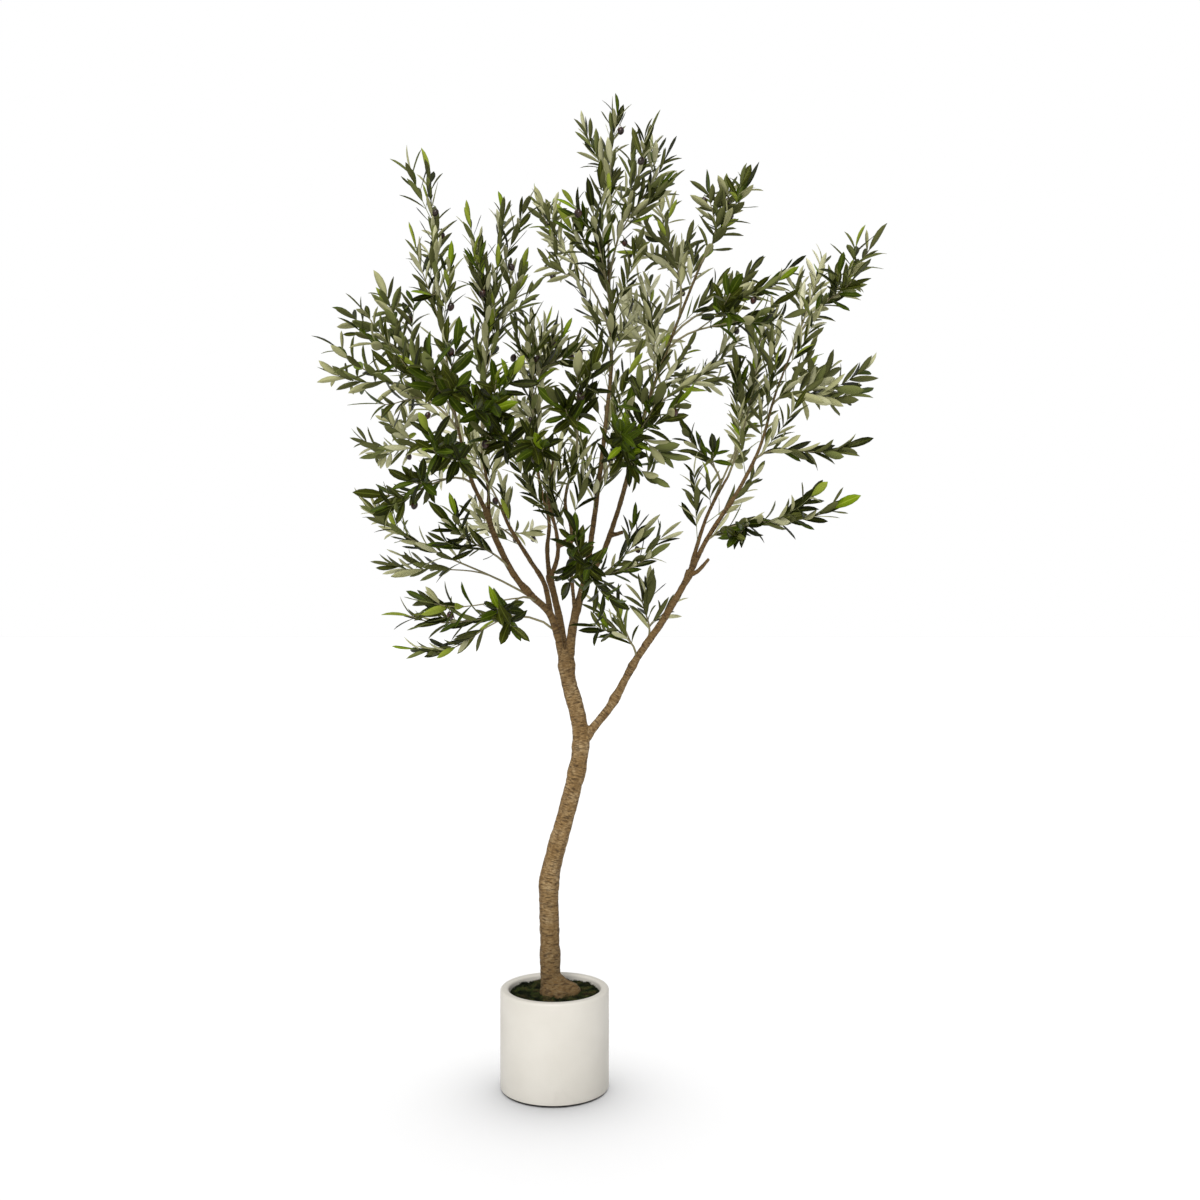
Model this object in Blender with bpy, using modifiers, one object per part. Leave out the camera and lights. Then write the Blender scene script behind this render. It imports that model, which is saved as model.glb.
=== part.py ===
"""An artificial olive tree, 2.13 m tall, standing in a plain round planter.

Metres, +Z up. The origin is the middle of the planter's flat underside, and -Y is the front.
A filled planter carries the trunk, which forks into tapering boughs. Each mass of foliage is
one solid: a stem that grows on from a bough, its side twigs, its leaves and a few olives.
"""

import itertools
import math
import random

import bmesh
import bpy
import numpy as np
from mathutils import Matrix, Vector

# ---------------------------------------------------------------- driving dimensions

GAP = 0.0003  # clearance between solids that touch

POT_RADIUS = 0.116
POT_HEIGHT = 0.214
POT_WALL = 0.018
POT_FLOOR = 0.020
POT_RIM_ROUND = 0.005
FOOT_RADIUS = 0.104
FOOT_HEIGHT = 0.004
TURNED_STEPS = 32

FILL_TOP = 0.203  # the mossy top of the filling, 11 mm under the rim
FILL_EDGE_DROP = 0.004

TRUNK_SIDES = 12
LIMB_SIDES = 6
STEM_SIDES = 3
PATH_STEPS = 2  # rings between two of a limb's points
STEM_STEPS = 3

STEM_RADIUS = 0.0030
STEM_TIP_RADIUS = 0.0020
TWIG_RADIUS = 0.0023
TWIG_TIP_RADIUS = 0.0018

LEAF_LENGTH = 0.106
LEAF_WIDTH = 0.031
LEAF_THICKNESS = 0.0028
LEAF_WIDEST = 0.46  # share of its length where a leaf is widest
STALK_SHARE = 0.06  # a leaf stalk, as a share of the blade at its widest
STALK_SUNK = 0.001
OLIVE_LENGTH = 0.021
OLIVE_WIDTH = 0.016
OLIVE_EVERY = 5  # one mass in so many bears a fruit

# How every spray grows, as shares of its stem and in metres.
BARE_SHARE = 0.30
ARM_FORK_FIRST = 0.30
ARM_FORK_STEP = 0.18
TWIG_SPACING = 0.25
TWIG_LENGTH = 0.100
PAIR_SPACING = 0.088
PAIR_STAGGER = 0.006  # opposite leaves stand this far apart along their twig
GOLDEN_ANGLE = math.radians(137.5)
LEAF_OPENING = math.radians(38)
TWIG_OPENING = math.radians(46)
UPWARD_PULL = 0.35  # how strongly a growing tip turns up
BEND = 0.36  # length of a stem curve's handles, as a share of its chord
ROOT_BACK = 0.004  # a stem starts this share of its limb before its place on it
LIMB_PULL, TIP_PULL = 0.7, 0.6  # a stem leaves along its limb and towards its tip
END_LEAF_REACH = 0.94
LEAF_TURNS = [math.radians(angle) for angle in (0, 24, -24, 48, -48)]
LEAF_SIZES = (1.0, 0.75)  # the second where the first has no room
LEAF_JITTER = math.radians(14)
TWIG_SIZES = (1.0, 0.7, 0.45)
TWIG_BARE_SHARE = 0.45
LAST_TWIG = 0.90  # share of a stem past which no twig grows
END_LEAF_OPENING = math.radians(6)
END_LEAF_SUNK = 0.006
OLIVE_OPENING = math.radians(60)
OLIVE_SUNK = 0.002
OLIVE_PLACE = 0.62  # share of its stem
PIECES_APART = 0.002
SPACE_MARGIN = 0.0035  # how far a leaf stays inside its own mass's space
LIMB_CLEARANCE = 0.0045

# Points that stand for a leaf when its clearance is measured, in the leaf's own frame.
LEAF_SAMPLES = [Vector((0.0, 0.0, LEAF_WIDEST * LEAF_LENGTH)), Vector((0.0, 0.0, LEAF_LENGTH))]
for share, half_width in ((0.20, 0.25), (LEAF_WIDEST, 0.50), (0.75, 0.25)):
    for side in (-half_width, half_width):
        LEAF_SAMPLES.append(Vector((side * LEAF_WIDTH, 0.0, share * LEAF_LENGTH)))

# A leaf's rib, as shares of its length, with the leaf's half width there as a share of its width.
LEAF_RIB = [(0.30, 0.36), (0.60, 0.36), (0.95, 0.10)]

# name, start and tip radius, then the points that it passes through.
TRUNK = (
    "trunk", 0.0235, 0.0165,
    [(-0.008, 0.000, 0.170), (-0.009, 0.002, 0.235), (-0.011, 0.004, 0.335), (-0.012, 0.004, 0.438),
     (0.003, 0.000, 0.508), (0.026, -0.004, 0.590), (0.050, -0.006, 0.690), (0.056, -0.004, 0.748),
     (0.046, 0.000, 0.811), (0.029, 0.000, 0.871), (0.023, 0.000, 0.936)],
)

# Root flare: lobes at the trunk's foot, as bearing in degrees, reach, and radius.
ROOT_LOBES = [
    (-5, 0.052, 0.0235), (-48, 0.034, 0.0190), (-98, 0.025, 0.0180),
    (-150, 0.014, 0.0160), (60, 0.024, 0.0160), (140, 0.012, 0.0150),
]
# A lobe's course: share of its reach, height over the filling, and share of its radius.
LOBE_COURSE = [(0.00, 0.050, 0.88), (0.45, 0.010, 1.00), (0.85, 0.001, 0.95), (1.00, -0.008, 0.70)]

LIMBS = [
    ("right_bough", 0.0098, 0.0070,
     [(0.052, -0.004, 0.735), (0.093, -0.006, 0.782), (0.127, -0.010, 0.829), (0.173, -0.020, 0.915),
      (0.228, -0.030, 0.996), (0.274, -0.045, 1.076), (0.287, -0.049, 1.104)]),
    ("left_bough", 0.0084, 0.0060,
     [(0.016, -0.004, 0.925), (-0.007, -0.020, 1.009), (-0.047, -0.035, 1.051), (-0.086, -0.050, 1.099),
      (-0.122, -0.070, 1.174), (-0.140, -0.080, 1.230)]),
    ("centre_bough", 0.0106, 0.0080,
     [(0.031, -0.004, 0.925), (0.042, -0.010, 1.000), (0.065, -0.010, 1.085)]),
    ("middle_bough", 0.0094, 0.0070,
     [(0.022, 0.009, 0.925), (0.006, 0.030, 1.017), (-0.014, 0.050, 1.097)]),
    ("right_outer_limb", 0.0056, 0.0028,
     [(0.286, -0.049, 1.098), (0.324, -0.052, 1.175), (0.388, -0.042, 1.273), (0.436, -0.030, 1.367),
      (0.469, -0.020, 1.478), (0.521, 0.000, 1.608)]),
    ("right_inner_limb", 0.0052, 0.0030,
     [(0.284, -0.044, 1.092), (0.302, -0.034, 1.157), (0.327, -0.010, 1.226), (0.359, 0.012, 1.285),
      (0.373, 0.022, 1.308)]),
    ("right_spur", 0.0050, 0.0036,
     [(0.283, -0.049, 1.094), (0.302, -0.064, 1.104), (0.323, -0.084, 1.128)]),
    ("left_outer_limb", 0.0050, 0.0030,
     [(-0.139, -0.080, 1.226), (-0.165, -0.100, 1.282), (-0.181, -0.120, 1.340), (-0.200, -0.140, 1.433)]),
    ("left_inner_limb", 0.0046, 0.0032,
     [(-0.136, -0.074, 1.214), (-0.137, -0.056, 1.269), (-0.146, -0.040, 1.319), (-0.154, -0.020, 1.357)]),
    ("left_back_bough", 0.0062, 0.0040,
     [(-0.007, -0.018, 1.006), (-0.022, 0.012, 1.076), (-0.056, 0.055, 1.130), (-0.100, 0.095, 1.198),
      (-0.127, 0.130, 1.255)]),
    ("middle_left_limb", 0.0054, 0.0032,
     [(-0.013, 0.050, 1.092), (-0.019, 0.070, 1.152), (-0.016, 0.090, 1.219), (-0.037, 0.120, 1.301),
      (-0.051, 0.140, 1.402)]),
    ("middle_right_limb", 0.0054, 0.0030,
     [(-0.012, 0.046, 1.086), (0.006, 0.026, 1.140), (0.002, 0.010, 1.195), (-0.014, -0.010, 1.260),
      (-0.002, -0.050, 1.335)]),
    ("top_limb", 0.0066, 0.0032,
     [(0.064, -0.010, 1.080), (0.078, -0.014, 1.170), (0.099, -0.012, 1.328), (0.111, 0.000, 1.438),
      (0.121, 0.010, 1.558), (0.115, 0.020, 1.778)]),
    ("centre_right_limb", 0.0064, 0.0030,
     [(0.060, -0.009, 1.068), (0.103, 0.004, 1.143), (0.142, 0.022, 1.256), (0.184, 0.040, 1.412),
      (0.223, 0.050, 1.533), (0.265, 0.050, 1.646), (0.316, 0.040, 1.772)]),
    ("front_limb", 0.0048, 0.0030,
     [(0.044, -0.010, 1.012), (0.036, -0.050, 1.110), (0.037, -0.070, 1.189), (0.025, -0.090, 1.250),
      (0.046, -0.130, 1.330)]),
]

# Each mass: name, limb that carries it, share along that limb, and the tips of its stem and arms.
SPRAYS = [
    ("tall_left_spray", "left_outer_limb", 1.00,
     [(-0.26, -0.10, 1.975), (-0.29, -0.13, 1.815), (-0.265, -0.20, 1.70)]),
    ("upper_left_spray", "left_inner_limb", 1.00,
     [(-0.11, 0.02, 1.935), (-0.065, 0.06, 1.815), (-0.175, -0.04, 1.82)]),
    ("left_shoulder_spray", "left_outer_limb", 0.93, [(-0.41, -0.12, 1.68), (-0.37, -0.05, 1.735)]),
    ("far_left_spray", "left_outer_limb", 0.80, [(-0.485, -0.10, 1.61), (-0.405, -0.17, 1.465)]),
    ("front_left_spray", "left_outer_limb", 0.83,
     [(-0.22, -0.42, 1.505), (-0.305, -0.36, 1.545), (-0.165, -0.34, 1.575)]),
    ("pale_left_spray", "left_outer_limb", 0.45, [(-0.46, 0.10, 1.425), (-0.405, 0.18, 1.485)]),
    ("left_spur_spray", "left_outer_limb", 0.58, [(-0.23, -0.38, 1.35)]),
    ("left_low_spray", "left_bough", 0.36, [(-0.415, -0.10, 1.27), (-0.355, 0.00, 1.16)]),
    ("left_middle_spray", "left_outer_limb", 0.30, [(-0.385, -0.22, 1.27), (-0.305, -0.28, 1.30)]),
    ("lowest_left_spray", "left_bough", 0.15, [(-0.35, -0.12, 1.04), (-0.30, -0.16, 0.94)]),
    ("low_front_spray", "left_bough", 0.37, [(-0.12, -0.32, 1.05), (-0.285, -0.22, 1.06)]),
    ("left_inside_spray", "left_bough", 0.62, [(-0.23, -0.24, 1.24)]),
    ("front_upper_left_spray", "left_inner_limb", 0.88, [(-0.09, -0.38, 1.50), (-0.14, -0.28, 1.465)]),
    ("centre_left_spray", "middle_left_limb", 1.00,
     [(-0.05, 0.06, 1.73), (0.005, 0.14, 1.695), (0.07, 0.04, 1.645)]),
    ("front_centre_spray", "front_limb", 1.00, [(0.055, -0.32, 1.525), (0.025, -0.38, 1.44)]),
    ("front_sill_spray", "middle_right_limb", 1.00, [(-0.15, -0.30, 1.395), (-0.005, -0.38, 1.35)]),
    ("front_low_spray", "front_limb", 0.30,
     [(0.095, -0.34, 1.14), (0.025, -0.25, 1.075), (0.045, -0.28, 1.225)]),
    ("low_right_spray", "centre_bough", 0.85, [(0.235, -0.14, 1.175), (0.21, -0.10, 1.23)]),
    ("centre_right_spray", "top_limb", 0.28,
     [(0.22, -0.32, 1.465), (0.165, -0.20, 1.41), (0.185, -0.24, 1.315), (0.28, -0.16, 1.35)]),
    ("crown_top_spray", "top_limb", 1.00, [(0.125, 0.03, 2.135), (0.11, 0.10, 2.075)]),
    ("crown_right_spray", "top_limb", 0.93, [(0.21, -0.08, 2.065), (0.255, -0.04, 2.025)]),
    ("crown_front_spray", "top_limb", 0.84, [(0.075, -0.18, 1.89), (0.015, -0.14, 1.855)]),
    ("crown_back_left_spray", "top_limb", 0.76, [(-0.065, 0.26, 2.02), (-0.05, 0.20, 1.855)]),
    ("crown_back_spray", "centre_right_limb", 0.84,
     [(0.235, 0.26, 2.00), (0.18, 0.32, 1.925), (0.30, 0.20, 1.885)]),
    ("right_crown_spray", "centre_right_limb", 1.00, [(0.435, 0.02, 1.99), (0.335, 0.10, 2.00)]),
    ("upper_right_spray", "centre_right_limb", 0.78, [(0.55, 0.10, 1.815), (0.465, 0.16, 1.83)]),
    ("upper_right_front_spray", "centre_right_limb", 0.74, [(0.505, -0.10, 1.695), (0.38, -0.18, 1.705)]),
    ("inner_right_spray", "centre_right_limb", 0.50, [(0.435, 0.24, 1.68), (0.37, 0.16, 1.61)]),
    ("far_right_spray", "right_outer_limb", 1.00, [(0.70, -0.02, 1.845), (0.65, -0.10, 1.755)]),
    ("right_top_spray", "right_outer_limb", 0.92, [(0.605, 0.14, 1.85), (0.535, 0.10, 1.785)]),
    ("right_inner_tall_spray", "right_inner_limb", 1.00, [(0.465, 0.08, 1.69), (0.385, -0.02, 1.585)]),
    ("right_middle_spray", "right_outer_limb", 0.72, [(0.70, 0.10, 1.53), (0.635, 0.16, 1.60)]),
    ("right_arm_spray", "right_outer_limb", 0.50, [(0.655, -0.12, 1.39)]),
    ("lowest_right_spray", "right_outer_limb", 0.14, [(0.61, -0.20, 1.262), (0.35, -0.25, 1.19)]),
    ("thin_right_spray", "right_inner_limb", 0.86, [(0.255, -0.10, 1.445), (0.325, -0.14, 1.39)]),
    ("low_inner_left_spray", "right_bough", 0.50, [(0.075, -0.12, 1.075), (0.12, -0.04, 1.095)]),
    ("low_inner_right_spray", "right_bough", 0.60, [(0.185, 0.08, 1.105), (0.265, 0.04, 1.075)]),
    ("back_left_spray", "left_back_bough", 1.00, [(-0.315, 0.38, 1.60), (-0.36, 0.34, 1.425)]),
    ("back_centre_spray", "middle_left_limb", 0.80, [(-0.04, 0.42, 1.705), (-0.125, 0.40, 1.555)]),
    ("back_low_spray", "left_back_bough", 0.60, [(-0.22, 0.40, 1.31), (-0.05, 0.36, 1.235)]),
    ("back_right_spray", "right_inner_limb", 0.60, [(0.48, 0.36, 1.595), (0.435, 0.32, 1.425)]),
    ("back_upper_right_spray", "centre_right_limb", 0.58, [(0.22, 0.40, 1.855), (0.105, 0.40, 1.775)]),
]

# ---------------------------------------------------------------- scene, materials, solids


def clear_scene():
    for obj in list(bpy.data.objects):
        bpy.data.objects.remove(obj, do_unlink=True)


def new_collection(name):
    collection = bpy.data.collections.new(name)
    bpy.context.scene.collection.children.link(collection)
    return collection


def new_material(name, colour, roughness):
    material = bpy.data.materials.new(name)
    material.use_nodes = True
    shader = material.node_tree.nodes["Principled BSDF"]
    shader.inputs["Base Color"].default_value = (*colour, 1.0)
    shader.inputs["Roughness"].default_value = roughness
    shader.inputs["Metallic"].default_value = 0.0
    material.diffuse_color = (*colour, 1.0)
    return material


def add_object(name, data, collection, material=None):
    obj = bpy.data.objects.new(name, data)
    collection.objects.link(obj)
    if material:
        data.materials.append(material)
    return obj


def evaluated_mesh(obj):
    """The object's mesh with its modifiers applied, or the mesh that a curve makes."""
    bpy.context.view_layer.update()
    graph = bpy.context.evaluated_depsgraph_get()
    return bpy.data.meshes.new_from_object(obj.evaluated_get(graph), depsgraph=graph)


def weld(mesh):
    bm = bmesh.new()
    bm.from_mesh(mesh)
    bmesh.ops.remove_doubles(bm, verts=bm.verts, dist=1e-6)
    bmesh.ops.recalc_face_normals(bm, faces=bm.faces)
    bm.to_mesh(mesh)
    bm.free()


def shade_round(mesh):
    mesh.shade_smooth()
    mesh.set_sharp_from_angle(angle=math.radians(50))


def keep_largest(mesh):
    """Drops loose scraps, and the inner shell of any hollow that fusing has sealed."""
    bm = bmesh.new()
    bm.from_mesh(mesh)
    unseen = set(bm.verts)
    islands = []
    while unseen:
        island = {unseen.pop()}
        edge_of_island = list(island)
        while edge_of_island:
            vert = edge_of_island.pop()
            found = {edge.other_vert(vert) for edge in vert.link_edges} & unseen
            unseen -= found
            island |= found
            edge_of_island.extend(found)
        islands.append(island)
    islands.sort(key=len)
    for island in islands[:-1]:
        bmesh.ops.delete(bm, geom=list(island), context="VERTS")
    bm.to_mesh(mesh)
    bm.free()


def boolean(piece, operation, tools):
    """Joins or cuts the piece with every object of a collection, and removes them."""
    modifier = piece.modifiers.new(operation.lower(), "BOOLEAN")
    modifier.operation = operation
    modifier.operand_type = "COLLECTION"
    modifier.collection = tools
    modifier.solver = "EXACT"
    mesh = evaluated_mesh(piece)
    piece.modifiers.clear()
    old = piece.data
    piece.data = mesh
    bpy.data.meshes.remove(old)
    for obj in list(tools.objects):
        bpy.data.objects.remove(obj, do_unlink=True)
    keep_largest(mesh)


# ---------------------------------------------------------------- paths and tubes


def smooth_path(points, steps):
    """A curve through the points, with `steps` pieces between two of them."""
    points = [Vector(p) for p in points]
    ends = [2 * points[0] - points[1]] + points + [2 * points[-1] - points[-2]]
    path = []
    for before, start, end, after in zip(ends, ends[1:], ends[2:], ends[3:]):
        for step in range(steps):
            t = step / steps
            path.append(0.5 * (
                2 * start + (end - before) * t
                + (2 * before - 5 * start + 4 * end - after) * t ** 2
                + (3 * start - before - 3 * end + after) * t ** 3
            ))
    return path + [points[-1]]


def bend_path(start, leaving, tip, steps):
    """A stem's curve: it leaves along `leaving`, reaches for its tip, and turns up at the end."""
    chord = tip - start
    arriving = (chord.normalized() + Vector((0, 0, UPWARD_PULL))).normalized()
    near = start + leaving * chord.length * BEND
    far = tip - arriving * chord.length * BEND
    path = []
    for step in range(steps + 1):
        t = step / steps
        s = 1 - t
        path.append(s ** 3 * start + 3 * s * s * t * near + 3 * s * t * t * far + t ** 3 * tip)
    return path


def lengths_along(path):
    travelled = [0.0]
    for a, b in zip(path, path[1:]):
        travelled.append(travelled[-1] + (b - a).length)
    return travelled


def place_on(path, share):
    """The point and the direction at a share of the path's length."""
    travelled = lengths_along(path)
    wanted = max(0.0, min(1.0, share)) * travelled[-1]
    for i in range(len(path) - 1):
        if wanted <= travelled[i + 1] or i == len(path) - 2:
            span = path[i + 1] - path[i]
            return path[i] + span * ((wanted - travelled[i]) / span.length), span.normalized()


def taper(path, start, end):
    travelled = lengths_along(path)
    return [start + (end - start) * t / travelled[-1] for t in travelled]


def tube(name, path, radii, sides, collection, material=None):
    """A tapering tube round the path: round, or three-sided for a twig."""
    curve = bpy.data.curves.new(name, "CURVE")
    curve.dimensions = "3D"
    curve.use_fill_caps = True
    profile = None
    if sides == 3:
        profile = bpy.data.objects.new("three_sided_profile", triangle_profile())
        collection.objects.link(profile)
        curve.bevel_mode = "OBJECT"
        curve.bevel_object = profile
    else:
        curve.bevel_depth = 1.0
        curve.bevel_resolution = (sides - 4) // 2
    spline = curve.splines.new("POLY")
    spline.points.add(len(path) - 1)
    for point, place, radius in zip(spline.points, path, radii):
        point.co = (*place, 1.0)
        point.radius = radius
    guide = add_object(name + "_guide", curve, collection)
    mesh = evaluated_mesh(guide)
    weld(mesh)
    bpy.data.objects.remove(guide, do_unlink=True)
    bpy.data.curves.remove(curve)
    if profile:
        outline = profile.data
        bpy.data.objects.remove(profile, do_unlink=True)
        bpy.data.curves.remove(outline)
    return add_object(name, mesh, collection, material)


def triangle_profile():
    outline = bpy.data.curves.new("three_sided_profile", "CURVE")
    outline.dimensions = "2D"
    spline = outline.splines.new("POLY")
    spline.points.add(2)
    spline.use_cyclic_u = True
    for corner, point in enumerate(spline.points):
        angle = math.tau * corner / 3
        point.co = (math.cos(angle), math.sin(angle), 0.0, 1.0)
    return outline


def lengthened(path, extra):
    """The path with both ends carried on by `extra`."""
    start = path[0] + (path[0] - path[1]).normalized() * extra
    end = path[-1] + (path[-1] - path[-2]).normalized() * extra
    return [start] + path[1:-1] + [end]


# ---------------------------------------------------------------- clearances


class Rods:
    """Limbs or stems as straight tapering rods, for measuring how near a point comes to them."""

    def __init__(self):
        self.starts, self.ends, self.radii, self.owners = [], [], [], []

    def add(self, path, radii, owner):
        for a, b, ra, rb in zip(path, path[1:], radii, radii[1:]):
            self.starts.append(a)
            self.ends.append(b)
            self.radii.append(max(ra, rb))
            self.owners.append(owner)

    def distances(self, points):
        """Distance of each point from each rod's axis."""
        starts = np.array(self.starts)
        along = np.array(self.ends) - starts
        reach = np.array(points)[:, None] - starts
        share = np.clip((reach * along).sum(2) / (along ** 2).sum(1), 0, 1)
        return np.linalg.norm(reach - share[..., None] * along, axis=2)

    def clearances(self, points):
        return self.distances(points) - np.array(self.radii)

    def near(self, points, within):
        """Owners whose surface comes within a distance of any of the points."""
        close = (self.clearances(points) < within).any(axis=0)
        return {owner for owner, is_close in zip(self.owners, close) if is_close}


# ---------------------------------------------------------------- pot and filling


def arc(middle, radius, start, end, steps):
    """Points (x, z) round a quarter, with angles in degrees."""
    angles = [math.radians(start + (end - start) * i / steps) for i in range(steps + 1)]
    return [(middle[0] + radius * math.cos(a), middle[1] + radius * math.sin(a)) for a in angles]


def turned(name, profile, collection, material):
    mesh = bpy.data.meshes.new(name)
    bm = bmesh.new()
    verts = [bm.verts.new((x, 0.0, z)) for x, z in profile]
    for a, b in zip(verts, verts[1:]):
        bm.edges.new((a, b))
    bm.to_mesh(mesh)
    bm.free()
    obj = add_object(name, mesh, collection, material)
    screw = obj.modifiers.new("turn", "SCREW")
    screw.steps = TURNED_STEPS
    screw.render_steps = TURNED_STEPS
    screw.use_merge_vertices = True
    screw.merge_threshold = 0.0001
    screw.use_smooth_shade = True
    return obj


def make_pot(collection, material):
    inner = POT_RADIUS - POT_WALL
    bend = POT_RIM_ROUND
    profile = [(0.0, POT_FLOOR), (inner, POT_FLOOR)]
    profile += arc((inner + bend, POT_HEIGHT - bend), bend, 180, 90, 2)
    profile += arc((POT_RADIUS - bend, POT_HEIGHT - bend), bend, 90, 0, 2)
    profile += [(POT_RADIUS, FOOT_HEIGHT + 0.002), (POT_RADIUS - 0.002, FOOT_HEIGHT)]
    profile += [(FOOT_RADIUS, FOOT_HEIGHT), (FOOT_RADIUS, 0.0), (0.0, 0.0)]
    return turned("pot", profile, collection, material)


def make_filling(collection, material):
    outer = POT_RADIUS - POT_WALL - GAP
    flat = outer - 0.018
    profile = [(0.0, FILL_TOP), (flat, FILL_TOP), (outer, FILL_TOP - FILL_EDGE_DROP)]
    profile += [(outer, POT_FLOOR + GAP), (0.0, POT_FLOOR + GAP)]
    return turned("moss_filling", profile, collection, material)


# ---------------------------------------------------------------- trunk and boughs


def make_trunk(collection, tools, material):
    name, start, end, points = TRUNK
    path = smooth_path(points, PATH_STEPS)
    radii = taper(path, start, end)
    trunk = tube(name, path, radii, TRUNK_SIDES, collection, material)
    foot = Vector((points[0][0], points[0][1], FILL_TOP))
    for bearing, reach, radius in ROOT_LOBES:
        angle = math.radians(bearing)
        outward = Vector((math.cos(angle), math.sin(angle), 0.0)) * reach
        course = [foot + outward * share + Vector((0, 0, height)) for share, height, _ in LOBE_COURSE]
        tube("lobe", course, [radius * share for _, _, share in LOBE_COURSE], LIMB_SIDES, tools)
    boolean(trunk, "UNION", tools)
    cut_flat(trunk.data, FILL_TOP + GAP)
    shade_round(trunk.data)
    return path, radii


def cut_flat(mesh, height):
    """Cuts away everything below a level, and closes the cut with a flat face."""
    bm = bmesh.new()
    bm.from_mesh(mesh)
    cut = bmesh.ops.bisect_plane(
        bm, geom=bm.verts[:] + bm.edges[:] + bm.faces[:], dist=1e-6,
        plane_co=(0, 0, height), plane_no=(0, 0, -1), clear_outer=True,
    )
    rim = [item for item in cut["geom_cut"] if isinstance(item, bmesh.types.BMEdge)]
    bmesh.ops.holes_fill(bm, edges=rim)
    bmesh.ops.recalc_face_normals(bm, faces=bm.faces)
    bm.to_mesh(mesh)
    bm.free()


def make_limbs(collection, tools, material, wood, paths):
    """Each bough is a tapering tube, saddle-cut 0.3 mm clear of what it grows from."""
    for name, start, end, points in LIMBS:
        path = smooth_path(points, PATH_STEPS)
        radii = taper(path, start, end)
        limb = tube(name, path, radii, LIMB_SIDES, collection, material)
        touched = wood.near(path, start + 0.002)
        cut_clear(limb, touched, paths, tools)
        shade_round(limb.data)
        wood.add(path, radii, name)
        paths[name] = (path, radii)


def cut_clear(piece, owners, paths, tools):
    """Cuts the piece back to GAP from each of the named limbs."""
    for owner in sorted(owners):
        path, radii = paths[owner]
        sides = TRUNK_SIDES if owner == "trunk" else LIMB_SIDES
        tube(owner + "_cutter", lengthened(path, GAP), [r + GAP for r in radii], sides, tools)
    if owners:
        boolean(piece, "DIFFERENCE", tools)


# ---------------------------------------------------------------- foliage


def upright_frame(place, along, about, opening):
    """A frame at `place` whose Z leans from `along` by `opening`, turned `about` round it."""
    across = along.orthogonal().normalized()
    across.rotate(Matrix.Rotation(about, 3, along))
    forward = (along * math.cos(opening) + across * math.sin(opening)).normalized()
    face = (along * math.sin(opening) - across * math.cos(opening)).normalized()
    side = face.cross(forward)
    frame = Matrix((side, face, forward)).transposed().to_4x4()
    frame.translation = place
    return frame


def make_leaf_mesh():
    """A pointed blade with a flat upper face and a keel, narrowing to a slim stalk at its root."""
    blade = LEAF_LENGTH * LEAF_WIDEST
    bm = bmesh.new()
    made = bmesh.ops.create_cone(
        bm, cap_ends=True, segments=3, radius1=STALK_SHARE, radius2=1.0, depth=blade,
        matrix=Matrix.Translation((0, 0, blade / 2)),
    )
    bmesh.ops.scale(bm, verts=made["verts"], vec=(LEAF_WIDTH / math.sqrt(3), LEAF_THICKNESS / 1.5, 1))
    widest = next(f for f in bm.faces if len(f.verts) == 3 and f.calc_center_median().z > blade / 2)
    grown = bmesh.ops.extrude_discrete_faces(bm, faces=[widest])
    tip = list(grown["faces"][0].verts)
    bmesh.ops.pointmerge(bm, verts=tip, merge_co=(0, 0, LEAF_LENGTH))
    bmesh.ops.translate(bm, verts=bm.verts, vec=(0, 0, -STALK_SUNK))
    bmesh.ops.recalc_face_normals(bm, faces=bm.faces)
    mesh = bpy.data.meshes.new("leaf")
    bm.to_mesh(mesh)
    bm.free()
    return mesh


def make_olive_mesh():
    bm = bmesh.new()
    bmesh.ops.create_icosphere(bm, subdivisions=1, radius=0.5)
    bmesh.ops.scale(bm, verts=bm.verts, vec=(OLIVE_WIDTH, OLIVE_WIDTH, OLIVE_LENGTH))
    mesh = bpy.data.meshes.new("olive")
    bm.to_mesh(mesh)
    bm.free()
    return mesh


def spray_paths(spray, paths):
    """The stem of a mass and the arms that fork from it, as (path, radii)."""
    _, limb, share, tips = spray
    limb_path, _ = paths[limb]
    root, along = place_on(limb_path, share - ROOT_BACK)
    tip = Vector(tips[0])
    leaving = (along * LIMB_PULL + (tip - root).normalized() * TIP_PULL).normalized()
    stem = bend_path(root, leaving, tip - leaf_end(root, tip), STEM_STEPS + 1)
    found = [(stem, taper(stem, STEM_RADIUS, STEM_TIP_RADIUS))]
    for order, arm_tip in enumerate(tips[1:]):
        fork, heading = place_on(stem, ARM_FORK_FIRST + ARM_FORK_STEP * order)
        arm_tip = Vector(arm_tip)
        leaving = (heading + (arm_tip - fork).normalized()).normalized()
        arm = bend_path(fork, leaving, arm_tip - leaf_end(fork, arm_tip), STEM_STEPS)
        found.append((arm, taper(arm, TWIG_RADIUS, STEM_TIP_RADIUS)))
    return found


def leaf_end(start, tip):
    """What a stem stops short by, so that its last leaf reaches the tip."""
    reach = (tip - start).normalized() + Vector((0, 0, UPWARD_PULL))
    return reach.normalized() * LEAF_LENGTH * END_LEAF_REACH


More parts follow.
